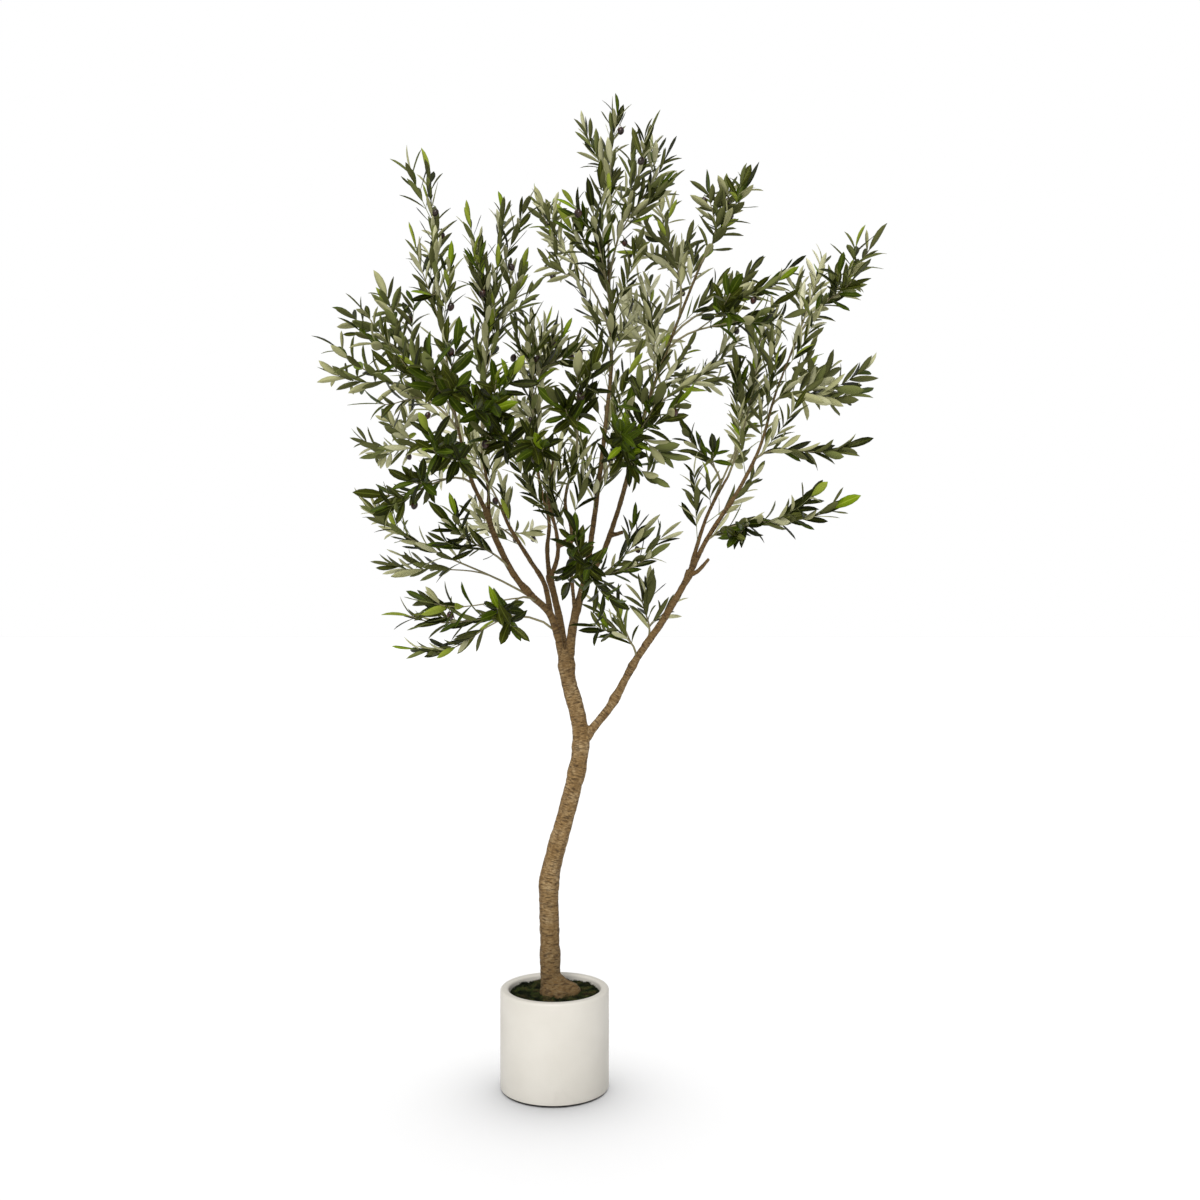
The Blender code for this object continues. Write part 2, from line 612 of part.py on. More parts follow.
class Spray:
    """Grows one mass inside its own space. Its pieces wait in `tools` until they are fused."""

    def __init__(self, name, wood, stems, tools, leaf, olive):
        self.name = name
        self.random = random.Random(name)
        self.wood = wood
        self.stems = stems
        self.mine = np.array([owner == name for owner in stems.owners])
        self.tools = tools
        self.leaf = leaf
        self.olive = olive
        self.pieces = Rods()  # what has grown so far

    def inside(self, points):
        """Whether all the points are in this mass's own space and clear of the limbs."""
        away = self.stems.distances(points)
        own = away[:, self.mine].min(axis=1)
        others = away[:, ~self.mine].min(axis=1)
        if (others - own).min() < 2 * SPACE_MARGIN:
            return False
        return self.wood.clearances(points).min() > LIMB_CLEARANCE

    def apart(self, points):
        """Whether the points are clear of the leaves and twigs that this mass has already."""
        return not self.pieces.owners or self.pieces.clearances(points).min() > PIECES_APART

    def fits(self, points):
        return self.inside(points) and self.apart(points)

    def add_copy(self, name, mesh, frame):
        copy = add_object(name, mesh, self.tools)
        copy.matrix_world = frame

    def add_leaf(self, place, along, about, opening):
        """Adds a leaf where it is clear of everything, trying a few turns and a smaller size."""
        for size, turn in itertools.product(LEAF_SIZES, LEAF_TURNS):
            frame = upright_frame(place, along, about + turn, opening) @ Matrix.Scale(size, 4)
            if self.fits([frame @ sample for sample in LEAF_SAMPLES]):
                self.add_copy("leaf", self.leaf, frame)
                rib = [frame @ Vector((0, 0, LEAF_LENGTH * share)) for share, _ in LEAF_RIB]
                self.pieces.add(rib, [LEAF_WIDTH * half for _, half in LEAF_RIB], self.name)
                return

    def add_pairs(self, path, first):
        """Opposite leaves along a stem or twig, each pair turned a quarter from the last."""
        length = lengths_along(path)[-1]
        count = max(1, round(length * (1 - first) / PAIR_SPACING))
        turn = self.random.uniform(0, math.pi)
        for i in range(count):
            place, along = place_on(path, min(first + (1 - first) * (i + 0.35) / count, 0.98))
            for side in (0, 1):
                about = turn + side * math.pi + self.random.uniform(-LEAF_JITTER, LEAF_JITTER)
                opening = LEAF_OPENING + self.random.uniform(-LEAF_JITTER, LEAF_JITTER) * 0.6
                self.add_leaf(place + along * PAIR_STAGGER * (side - 0.5), along, about, opening)
            turn += math.pi / 2

    def add_end_leaf(self, path):
        along = (path[-1] - path[-2]).normalized()
        place = path[-1] - along * END_LEAF_SUNK
        self.add_leaf(place, along, self.random.uniform(0, math.tau), END_LEAF_OPENING)

    def add_twigs(self, path, turn):
        """Side twigs, each turned by the golden angle from the one before."""
        count = round(lengths_along(path)[-1] * (1 - BARE_SHARE) / TWIG_SPACING)
        for i in range(count):
            place, along = place_on(path, BARE_SHARE + (LAST_TWIG - BARE_SHARE) * (i + 0.5) / count)
            turn += GOLDEN_ANGLE
            frame = upright_frame(place, along, turn, TWIG_OPENING)
            heading = (frame.col[2].xyz + Vector((0, 0, UPWARD_PULL * 0.5))).normalized()
            length = TWIG_LENGTH * self.random.uniform(0.75, 1.15)
            for share in TWIG_SIZES:
                end = place + heading * length * share
                course = [place.lerp(end, step) for step in (0.35, 0.6, 0.8, 1.0)]
                if self.fits(course):
                    self.pieces.add(course, [TWIG_RADIUS] * len(course), self.name)
                    tube("twig", [place, end], [TWIG_RADIUS, TWIG_TIP_RADIUS], STEM_SIDES, self.tools)
                    self.add_pairs([place, end], TWIG_BARE_SHARE)
                    self.add_end_leaf([place, end])
                    break
        return turn

    def add_olive(self, path):
        place, along = place_on(path, OLIVE_PLACE)
        frame = upright_frame(place, along, self.random.uniform(0, math.tau), OLIVE_OPENING)
        outward = frame.col[2].xyz
        frame.translation = place + outward * (OLIVE_LENGTH / 2 - OLIVE_SUNK)
        if self.inside([frame.translation, frame.translation + outward * OLIVE_LENGTH / 2]):
            self.add_copy("olive", self.olive, frame)

    def grow(self, route, bears_olive):
        """Grows twigs and leaves along the stem, which is first in the route, and its arms."""
        turn = self.random.uniform(0, math.tau)
        for order, (path, radii) in enumerate(route):
            self.pieces.add(path, radii, self.name)
            if order:
                tube("arm", path, radii, STEM_SIDES, self.tools)
            turn = self.add_twigs(path, turn)
            self.add_pairs(path, BARE_SHARE)
            self.add_end_leaf(path)
        if bears_olive:
            self.add_olive(route[0][0])


def make_foliage(collection, tools, material, wood, paths):
    routes = {spray[0]: spray_paths(spray, paths) for spray in SPRAYS}
    stems = Rods()
    for name, route in routes.items():
        for path, radii in route:
            stems.add(path, radii, name)
    leaf, olive = make_leaf_mesh(), make_olive_mesh()
    for order, (name, route) in enumerate(routes.items()):
        spray = Spray(name, wood, stems, tools, leaf, olive)
        spray.grow(route, bears_olive=order % OLIVE_EVERY == 0)
        path, radii = route[0]
        mass = tube(name, path, radii, STEM_SIDES, collection, material)
        boolean(mass, "UNION", tools)
        cut_clear(mass, wood.near(path[:2], STEM_RADIUS + 0.001), paths, tools)


# ---------------------------------------------------------------- the whole tree


def main():
    clear_scene()
    parts = new_collection("potted_olive_tree")
    tools = new_collection("joined_pieces")
    glaze = new_material("pot_white", (0.76, 0.74, 0.68), 0.55)
    moss = new_material("moss", (0.030, 0.045, 0.015), 0.95)
    bark = new_material("bark", (0.26, 0.165, 0.072), 0.80)
    leaf = new_material("olive_leaf", (0.045, 0.075, 0.022), 0.50)

    make_pot(parts, glaze)
    make_filling(parts, moss)
    paths, wood = {}, Rods()
    paths["trunk"] = make_trunk(parts, tools, bark)
    wood.add(*paths["trunk"], "trunk")
    make_limbs(parts, tools, bark, wood, paths)
    make_foliage(parts, tools, leaf, wood, paths)


if __name__ == "__main__":
    main()
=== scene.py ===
# %% [markdown]
# # An artificial olive tree in a planter
# The tree on the shop floor is a steel rod with a moulded bark skin, plugged with ready-made
# sprays of fabric leaves, and stood in a round planter under a layer of moss. This script
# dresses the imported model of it: every hard shape keeps its place and size, and gets its
# finish here. The pieces are the planter, the moss, the bark, the stems and twigs, the leaves
# in a few greens, and the olives.

import itertools
import math
import random
from collections import defaultdict, namedtuple

import bmesh
import bpy
import numpy as np
from mathutils import Matrix, Vector, noise


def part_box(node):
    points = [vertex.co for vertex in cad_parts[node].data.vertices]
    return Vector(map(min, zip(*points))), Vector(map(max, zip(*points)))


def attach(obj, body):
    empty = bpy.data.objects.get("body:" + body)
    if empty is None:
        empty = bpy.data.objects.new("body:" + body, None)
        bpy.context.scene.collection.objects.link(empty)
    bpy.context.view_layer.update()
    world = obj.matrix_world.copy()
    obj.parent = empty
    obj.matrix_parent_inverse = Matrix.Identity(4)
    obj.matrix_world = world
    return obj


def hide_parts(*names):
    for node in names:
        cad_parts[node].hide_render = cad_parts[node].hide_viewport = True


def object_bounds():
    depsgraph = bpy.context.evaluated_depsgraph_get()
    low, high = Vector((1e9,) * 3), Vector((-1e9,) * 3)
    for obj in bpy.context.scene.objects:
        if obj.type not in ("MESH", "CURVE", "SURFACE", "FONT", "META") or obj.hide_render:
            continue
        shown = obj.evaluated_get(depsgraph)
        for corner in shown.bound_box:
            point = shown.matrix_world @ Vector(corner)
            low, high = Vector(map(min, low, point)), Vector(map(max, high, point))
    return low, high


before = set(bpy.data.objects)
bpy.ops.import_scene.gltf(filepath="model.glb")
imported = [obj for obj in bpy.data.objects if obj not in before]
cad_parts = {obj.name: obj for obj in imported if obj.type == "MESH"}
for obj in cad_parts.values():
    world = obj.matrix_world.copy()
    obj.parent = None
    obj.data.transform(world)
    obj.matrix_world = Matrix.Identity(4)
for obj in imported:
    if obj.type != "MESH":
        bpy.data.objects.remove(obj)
CAD_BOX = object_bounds()
SPRAY_NODES = [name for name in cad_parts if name.endswith("_spray")]
WOOD_NODES = [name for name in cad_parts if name.endswith(("bough", "limb", "spur", "trunk"))]
print("box of the packed model:", [[round(v, 3) for v in corner] for corner in CAD_BOX])
print(len(SPRAY_NODES), "masses of foliage,", len(WOOD_NODES), "pieces of wood")

# %% [markdown]
# ## The camera
# Something this tall is best seen from well back, with a level camera at half its height,
# so that the trunk and the planter stay upright. A long lens could do it from further away,
# but this distance shows the planter's rim as a narrow ellipse and lets the front boughs
# come towards us. The shift is tiny: it only lifts the horizon a little.

# %% Place the camera
IMAGE_PIXELS = 1200
FOCAL_PIXELS = 1289
HORIZON_ROW = 597
SENSOR_WIDTH = 36.0
CAMERA_PLACE = Vector((0.097, -2.76, 1.049))

lens = bpy.data.cameras.new("camera")
lens.sensor_width = SENSOR_WIDTH
lens.lens = SENSOR_WIDTH * FOCAL_PIXELS / IMAGE_PIXELS
lens.shift_y = (HORIZON_ROW - IMAGE_PIXELS / 2) / IMAGE_PIXELS
camera = bpy.data.objects.new("camera", lens)
camera.location = CAMERA_PLACE
camera.rotation_euler = (math.radians(90), 0.0, 0.0)
bpy.context.scene.collection.objects.link(camera)
bpy.context.scene.camera = camera
print(f"lens {lens.lens:.1f} mm, {-CAMERA_PLACE.y:.2f} m from the trunk")

# %% [markdown]
# ## Soft studio light
# A plain product set is a white room: light comes from everywhere, with one large soft
# source on the upper left that gives the planter its gentle turn from light to shade. A few
# area lamps would fall off across a tree two metres tall, so the large source is a sun lamp
# with a wide angle. The floor isn't lit by it, and has a second, wider sun lamp to itself.

# %% Light the set
ROOM_LIGHT = 0.54
KEY_STRENGTH = 2.35
KEY_ANGLE = 30
KEY_TURN = (48, 0, -13)

scene = bpy.context.scene
scene.view_settings.view_transform = "Standard"


def add_sun(name, strength, angle, turn):
    """A sun lamp. Its angle, and its turn from straight down, are in degrees."""
    light = bpy.data.lights.new(name, "SUN")
    light.energy = strength
    light.angle = math.radians(angle)
    lamp = bpy.data.objects.new(name, light)
    lamp.rotation_euler = [math.radians(degrees) for degrees in turn]
    scene.collection.objects.link(lamp)
    return lamp


def wire(tree, *links):
    """Links nodes, each time from (a node, its output) to (a node, its input)."""
    for source, given, target, taken in links:
        tree.links.new(source.outputs[given], target.inputs[taken])


world = bpy.data.worlds.new("white_room")
world.use_nodes = True
scene.world = world
room = world.node_tree.nodes["Background"]
backdrop = world.node_tree.nodes.new("ShaderNodeBackground")
for light in (room, backdrop):
    light.inputs["Color"].default_value = (1.0, 1.0, 1.0, 1.0)
room.inputs["Strength"].default_value = ROOM_LIGHT
rays = world.node_tree.nodes.new("ShaderNodeLightPath")
choice = world.node_tree.nodes.new("ShaderNodeMixShader")
wire(
    world.node_tree,
    (rays, "Is Camera Ray", choice, "Fac"),
    (room, "Background", choice, 1),
    (backdrop, "Background", choice, 2),
    (choice, "Shader", world.node_tree.nodes["World Output"], "Surface"),
)
key = add_sun("key_light", KEY_STRENGTH, KEY_ANGLE, KEY_TURN)

# %% Lay the floor
FLOOR_SIZE = 30.0
FLOOR_PAINT = (0.20, 0.20, 0.20, 1.0)


def finished(bm, name):
    """A smooth mesh of the bmesh, which it frees."""
    mesh = bpy.data.meshes.new(name)
    bm.to_mesh(mesh)
    bm.free()
    mesh.shade_smooth()
    return mesh


bm = bmesh.new()
bmesh.ops.create_grid(bm, x_segments=1, y_segments=1, size=FLOOR_SIZE)
floor_mesh = finished(bm, "floor")
floor = bpy.data.objects.new("floor", floor_mesh)
scene.collection.objects.link(floor)
floor_paint = bpy.data.materials.new("floor_paint")
floor_paint.use_nodes = True
paint = floor_paint.node_tree.nodes["Principled BSDF"]
paint.inputs["Base Color"].default_value = FLOOR_PAINT
paint.inputs["Roughness"].default_value = 0.9
paint.inputs["Specular IOR Level"].default_value = 0.1
floor_mesh.materials.append(floor_paint)

# %% Light the floor
# Its own wide light comes from overhead, and only the planter blocks it. So a soft shade
# gathers round the planter, and the crown throws none.
OVERHEAD_STRENGTH = 14.6
OVERHEAD_ANGLE = 110
OVERHEAD_TURN = (-12, 0, 0)  # a little from behind

not_by_key = bpy.data.collections.new("not_lit_by_the_key_light")
not_by_key.objects.link(floor)
not_by_key.collection_objects[0].light_linking.link_state = "EXCLUDE"
key.light_linking.receiver_collection = not_by_key

by_overhead = bpy.data.collections.new("lit_by_the_overhead_light")
by_overhead.objects.link(floor)
shading_floor = bpy.data.collections.new("shades_the_floor")
overhead = add_sun("overhead_light", OVERHEAD_STRENGTH, OVERHEAD_ANGLE, OVERHEAD_TURN)
overhead.light_linking.receiver_collection = by_overhead
overhead.light_linking.blocker_collection = shading_floor

# %% [markdown]
# ## Tools for materials
# Every finish here is a Principled shader whose roughness and bump change over the surface, and
# on the planter, moss, bark and olives its colour changes too. Two effects are node groups with
# sockets of their own: `mottle`, the slow cloudy change that paint, moss, bark and fruit all
# have, and `crackle`, the short cracks across bark. Both take their coordinates from outside,
# because bark reads the wood's own direction, while the rest read the object's.

# %% Node groups


def new_group(name, numbers, outputs):
    """An empty shader group with a vector input, named numbers, and named outputs."""
    group = bpy.data.node_groups.new(name, "ShaderNodeTree")
    group.interface.new_socket("Vector", in_out="INPUT", socket_type="NodeSocketVector")
    for socket, value in numbers.items():
        made = group.interface.new_socket(socket, in_out="INPUT", socket_type="NodeSocketFloat")
        made.default_value = value
    for socket in outputs:
        group.interface.new_socket(socket, in_out="OUTPUT", socket_type="NodeSocketFloat")
    return group, group.nodes.new("NodeGroupInput"), group.nodes.new("NodeGroupOutput")


def math_node(tree, operation, second=None):
    """A math node, with its second number if that stays the same."""
    made = tree.nodes.new("ShaderNodeMath")
    made.operation = operation
    if second is not None:
        made.inputs[1].default_value = second
    return made


# %% The mottle group
mottle, ins, outs = new_group("mottle", {"Scale": 20.0, "Low": 0.35, "High": 0.65}, ["Mask"])
cloud = mottle.nodes.new("ShaderNodeTexNoise")
cloud.inputs["Detail"].default_value = 4.0
stretch = mottle.nodes.new("ShaderNodeMapRange")
wire(
    mottle,
    (ins, "Vector", cloud, "Vector"), (ins, "Scale", cloud, "Scale"),
    (cloud, "Fac", stretch, "Value"),
    (ins, "Low", stretch, "From Min"), (ins, "High", stretch, "From Max"),
    (stretch, "Result", outs, "Mask"),
)

# %% The crackle group
crackle, ins, outs = new_group("crackle", {"Scale": 100.0, "Width": 0.10}, ["Plate"])
cells = crackle.nodes.new("ShaderNodeTexVoronoi")
cells.feature = "DISTANCE_TO_EDGE"
opened = crackle.nodes.new("ShaderNodeMapRange")
wire(
    crackle,
    (ins, "Vector", cells, "Vector"), (ins, "Scale", cells, "Scale"),
    (cells, "Distance", opened, "Value"), (ins, "Width", opened, "From Max"),
    (opened, "Result", outs, "Plate"),
)

# %% Finishes


class Finish:
    """A material with a Principled shader, and short ways to build what feeds it."""

    def __init__(self, name, colour, roughness, gloss=0.5):
        self.material = bpy.data.materials.new(name)
        self.material.use_nodes = True
        self.material.diffuse_color = (*colour, 1.0)
        self.nodes = self.material.node_tree.nodes
        self.join = self.material.node_tree.links.new
        self.sockets = self.nodes["Principled BSDF"].inputs
        self.sockets["Base Color"].default_value = (*colour, 1.0)
        self.sockets["Roughness"].default_value = roughness
        self.sockets["Specular IOR Level"].default_value = gloss

    def place(self):
        """The surface's own place in the object."""
        return self.nodes.new("ShaderNodeTexCoord").outputs["Object"]

    def height(self):
        """The height of the surface in the object."""
        split = self.nodes.new("ShaderNodeSeparateXYZ")
        self.join(self.place(), split.inputs["Vector"])
        return split.outputs["Z"]

    def group(self, group, vector, **numbers):
        """The outputs of a node group that is fed by the vector and these numbers."""
        node = self.nodes.new("ShaderNodeGroup")
        node.node_tree = group
        self.join(vector, node.inputs["Vector"])
        for socket, value in numbers.items():
            node.inputs[socket].default_value = value
        return node.outputs

    def mottle(self, vector, scale, low, high):
        """A cloudy mask: 0 where the noise is below low, and 1 where it is above high."""
        return self.group(mottle, vector, Scale=scale, Low=low, High=high)["Mask"]

    def ramp(self, value, start, end, low=0.0, high=1.0):
        """A number that goes from low to high as the value goes from start to end."""
        change = self.nodes.new("ShaderNodeMapRange")
        for socket, number in (("From Min", start), ("From Max", end), ("To Min", low), ("To Max", high)):
            change.inputs[socket].default_value = number
        self.join(value, change.inputs["Value"])
        return change.outputs["Result"]

    def combined(self, operation, first, second):
        """One number made of two others."""
        made = math_node(self.material.node_tree, operation)
        self.join(first, made.inputs[0])
        self.join(second, made.inputs[1])
        return made.outputs["Value"]

    def coated(self, colour, mask, coat):
        """The colour with a coat of another over it, where the mask is 1."""
        mix = self.nodes.new("ShaderNodeMix")
        mix.data_type = "RGBA"
        self.join(mask, mix.inputs[0])
        mix.inputs[7].default_value = (*coat, 1.0)
        if isinstance(colour, bpy.types.NodeSocket):
            self.join(colour, mix.inputs[6])
        else:
            mix.inputs[6].default_value = (*colour, 1.0)
        return mix.outputs[2]

    def paint(self, colour, *coats):
        """Paints the surface a colour, under coats that each have a mask and a colour."""
        for mask, coat in coats:
            colour = self.coated(colour, mask, coat)
        self.join(colour, self.sockets["Base Color"])

    def roughen(self, mask, smooth, rough):
        """Roughness that goes from smooth to rough with the mask."""
        self.join(self.ramp(mask, 0.0, 1.0, smooth, rough), self.sockets["Roughness"])

    def bump(self, height, distance, strength=1.0, sunk=False):
        """Relief of this depth, in metres. Sunk relief goes in where the height is greatest."""
        bump = self.nodes.new("ShaderNodeBump")
        bump.invert = sunk
        bump.inputs["Distance"].default_value = distance
        bump.inputs["Strength"].default_value = strength
        self.join(height, bump.inputs["Height"])
        self.join(bump.outputs["Normal"], self.sockets["Normal"])


# %% [markdown]
# ## The planter
# It is one thick-walled round pot, cast and painted off-white, with a broad rim that is
# rounded on both edges and a foot set in a little, which throws the thin dark line at the
# floor. It could be spun from a drawn profile; here a cylinder is hollowed by an inset and an
# extrude, as a turner would think of it, and then its edges are bevelled. Its sizes come from
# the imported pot.

# %% Shape the planter
WALL = 0.018
RIM_ROUND = 0.0055
BASE_ROUND = 0.002
FOOT_INSET = 0.012
FOOT_HEIGHT = 0.004
SOIL_DEPTH = 0.03  # how far the well and the mat of moss go down from the soil's level
PLANTER_SIDES = 144
SAME_PLACE = 1e-4
NEAR_AXIS = 0.01
LEVEL = 0.9  # how upright a level face's normal has to be

pot_low, pot_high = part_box("pot")
POT_RADIUS = (pot_high.x - pot_low.x) / 2
POT_HEIGHT = pot_high.z
SOIL_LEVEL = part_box("moss_filling")[1].z


def add_piece(name, mesh, finishes, replaced=()):
    """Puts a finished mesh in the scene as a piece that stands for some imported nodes."""
    piece = bpy.data.objects.new(name, mesh)
    scene.collection.objects.link(piece)
    for finish in finishes:
        mesh.materials.append(finish.material)
    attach(piece, "root")
    if replaced:
        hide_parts(*replaced)
    faces = sum(len(face.vertices) - 2 for face in mesh.polygons)
    print(f"{name}: {faces} triangles")
    return piece


def circular_edges(bm, radius, height):
    """The edges that lie on a circle of this radius at this height."""
    def on_circle(vert):
        return abs(vert.co.xy.length - radius) < SAME_PLACE and abs(vert.co.z - height) < SAME_PLACE

    return [edge for edge in bm.edges if all(map(on_circle, edge.verts))]


def facing(bm, direction, height, reach=POT_RADIUS):
    """The level faces at this height that look up (1) or down (-1), centred within reach."""
    bm.normal_update()
    middles = [(face, face.calc_center_median()) for face in bm.faces if face.normal.z * direction > LEVEL]
    return [face for face, at in middles if abs(at.z - height) < SAME_PLACE and at.xy.length < reach]


def pull_out(bm, faces, keep=False):
    """Extrudes faces, and gives the new faces and the points to move."""
    grown = bmesh.ops.extrude_face_region(bm, geom=faces)["geom"]
    if not keep:
        bmesh.ops.delete(bm, geom=faces, context="FACES_ONLY")
    pulled = [item for item in grown if isinstance(item, bmesh.types.BMFace)]
    return pulled, [item for item in grown if isinstance(item, bmesh.types.BMVert)]


bm = bmesh.new()
bmesh.ops.create_cone(
    bm, cap_ends=True, segments=PLANTER_SIDES, radius1=POT_RADIUS, radius2=POT_RADIUS,
    depth=POT_HEIGHT - FOOT_HEIGHT, matrix=Matrix.Translation((0, 0, (POT_HEIGHT + FOOT_HEIGHT) / 2)),
)
top = facing(bm, 1, POT_HEIGHT)
bmesh.ops.inset_region(bm, faces=top, thickness=WALL)
_, sunk = pull_out(bm, facing(bm, 1, POT_HEIGHT, NEAR_AXIS))
bmesh.ops.translate(bm, verts=sunk, vec=(0, 0, SOIL_LEVEL - SOIL_DEPTH - POT_HEIGHT))
under = facing(bm, -1, FOOT_HEIGHT)
bmesh.ops.inset_region(bm, faces=under, thickness=FOOT_INSET)
_, lowered = pull_out(bm, facing(bm, -1, FOOT_HEIGHT, NEAR_AXIS))
bmesh.ops.translate(bm, verts=lowered, vec=(0, 0, -FOOT_HEIGHT))

rim = circular_edges(bm, POT_RADIUS, POT_HEIGHT) + circular_edges(bm, POT_RADIUS - WALL, POT_HEIGHT)
bmesh.ops.bevel(bm, geom=rim, offset=RIM_ROUND, affect="EDGES", segments=5, profile=0.5, material=-1)
base = circular_edges(bm, POT_RADIUS, FOOT_HEIGHT)
bmesh.ops.bevel(bm, geom=base, offset=BASE_ROUND, affect="EDGES", segments=2, profile=0.5, material=-1)
bmesh.ops.recalc_face_normals(bm, faces=bm.faces)
planter_mesh = finished(bm, "planter")
planter_mesh.set_sharp_from_angle(angle=math.radians(40))
print(f"planter {2000 * POT_RADIUS:.0f} mm across and {1000 * POT_HEIGHT:.0f} mm tall")

# %% [markdown]
# The paint is matt and slightly uneven, as a cast pot is: faint clouds in its colour, a fine
# orange-peel texture, and a few greyer smudges that gather low on the body, where it is
# handled and swept against.

# %% Finish the planter
PAINT = (0.640, 0.611, 0.550)
PAINT_CLOUD = (0.604, 0.575, 0.514)
SMUDGE = (0.50, 0.47, 0.42)
SMUDGE_TOP, SMUDGE_SHARE = 0.07, 0.55

pot_paint = Finish("off_white_paint", PAINT, 0.55)
place = pot_paint.place()
clouds = pot_paint.mottle(place, 9.0, 0.38, 0.66)
smudges = pot_paint.mottle(place, 26.0, 0.60, 0.78)
low_down = pot_paint.ramp(pot_paint.height(), SMUDGE_TOP, 0.0, high=SMUDGE_SHARE)
smudged = pot_paint.combined("MULTIPLY", smudges, low_down)
pot_paint.paint(PAINT, (clouds, PAINT_CLOUD), (smudged, SMUDGE))
pot_paint.roughen(clouds, 0.48, 0.62)
pot_paint.bump(pot_paint.mottle(place, 420.0, 0.2, 0.8), 0.00012)
planter = add_piece("planter", planter_mesh, [pot_paint], ["pot"])
shading_floor.objects.link(planter)

# %% [markdown]
# ## The moss
# Dried moss is glued over the weight in the planter: a dark, lumpy mat, browner in the
# hollows, that stands up in tufts. The mat is a disc of rings with its points lifted by
# noise, which is quick and closes against the wall. The tufts are a few thousand copies of
# one small bundle of blades, joined into one mesh, because loose copies would be lost when
# the tree is exported.

# %% Join many copies of a pattern into one mesh


def pattern_of(bm):
    """The bmesh as arrays: points, faces' corners, sizes and finishes. It frees the bmesh."""
    bm.verts.index_update()
    uv = bm.loops.layers.uv.active
    corners = [[loop.vert.index for loop in face.loops] for face in bm.faces]
    spots = [tuple(loop[uv].uv) if uv else (0.0, 0.0) for face in bm.faces for loop in face.loops]
    pattern = {
        "points": np.array([v.co for v in bm.verts]),
        "corners": np.array(list(itertools.chain.from_iterable(corners))),
        "sizes": np.array([len(face) for face in corners]),
        "finishes": np.array([face.material_index for face in bm.faces]),
        "spots": np.array(spots),
    }
    bm.free()
    return pattern


def joined(name, placings):
    """One mesh of many copies, each a (pattern, 4x4 matrix) pair."""
    points, corners, sizes, finishes, spots = [], [], [], [], []
    count = 0
    for pattern, matrix in placings:
        turn = np.array(matrix)
        points.append(pattern["points"] @ turn[:3, :3].T + turn[:3, 3])
        corners.append(pattern["corners"] + count)
        sizes.append(pattern["sizes"])
        finishes.append(pattern["finishes"])
        spots.append(pattern["spots"])
        count += len(pattern["points"])
    sizes = np.concatenate(sizes)
    mesh = bpy.data.meshes.new(name)
    mesh.vertices.add(count)
    mesh.vertices.foreach_set("co", np.concatenate(points).ravel())
    mesh.loops.add(int(sizes.sum()))
    mesh.loops.foreach_set("vertex_index", np.concatenate(corners))
    mesh.polygons.add(len(sizes))
    mesh.polygons.foreach_set("loop_start", np.concatenate([[0], np.cumsum(sizes)[:-1]]))
    mesh.polygons.foreach_set("material_index", np.concatenate(finishes))
    mesh.uv_layers.new(name="spots").uv.foreach_set("vector", np.concatenate(spots).ravel())
    mesh.update(calc_edges=True)
    mesh.shade_smooth()
    return mesh


def add_copies(name, placings, finishes, replaced):
    """Joins many copies into one piece."""
    return add_piece(name, joined(name, placings), finishes, replaced)


# %% Shape the moss
MOSS_RINGS = 30
MOSS_SIDES = 96
MOSS_GAP = 0.0003
MOSS_LUMP, LUMP_PITCHES, FINE_SHARE = 0.0040, (45, 160), 0.4
MOSS_DIP, MOSS_BANK, MOSS_DROP = 0.0035, 0.004, 0.003
TUFTS = 3200
TUFT_HEIGHT = 0.0075
TUFT_ROOT, TUFT_TIP = 0.0009, 0.0002  # the radii of a blade
TUFT_MIDDLE = 0.35  # where a blade's middle is, as a share of its height: its root is sunk in
TUFT_LEAN = 0.5
TUFT_SIZES = (0.45, 1.0)
BLADES = 5
BLADE_LEANS = (24, 31, 38)
WALL_SPARE = 0.004
WALL_SHADE = 0.9  # the share of the radius past which the moss is dark
DARK_BELOW, DRY_ABOVE = -0.02, 0.24
PATCH_PITCH, PATCH_BLUR = 38, 0.16

moss_random = random.Random("moss")
inner_radius = POT_RADIUS - WALL - MOSS_GAP


def moss_height(x, y):
    """Height of the mat: lumps of two sizes, banked up a little short of the wall."""
    spread = Vector((x, y, 0.0))
    broad, fine = (noise.noise(spread * pitch) * MOSS_LUMP for pitch in LUMP_PITCHES)
    lumps = broad + fine * FINE_SHARE
    share = spread.length / inner_radius
    return SOIL_LEVEL - MOSS_DIP + lumps + share ** 3 * MOSS_BANK - share ** 12 * MOSS_DROP


bm = bmesh.new()
spoke = [bm.verts.new((inner_radius * step / MOSS_RINGS, 0, SOIL_LEVEL)) for step in range(MOSS_RINGS + 1)]
spoke.append(bm.verts.new((inner_radius, 0, SOIL_LEVEL - SOIL_DEPTH)))
spoke.append(bm.verts.new((0, 0, SOIL_LEVEL - SOIL_DEPTH)))
edges = [bm.edges.new(pair) for pair in zip(spoke, spoke[1:])]
bmesh.ops.spin(
    bm, geom=spoke + edges, cent=(0, 0, 0), axis=(0, 0, 1), dvec=(0, 0, 0),
    angle=math.tau, steps=MOSS_SIDES, use_merge=True, use_duplicate=False,
)
bmesh.ops.remove_doubles(bm, verts=bm.verts, dist=1e-6)
for vert in bm.verts:
    if vert.co.z > SOIL_LEVEL - SOIL_DEPTH / 2:
        vert.co.z = moss_height(vert.co.x, vert.co.y)
bmesh.ops.recalc_face_normals(bm, faces=bm.faces)
moss_mesh = finished(bm, "moss_mat")

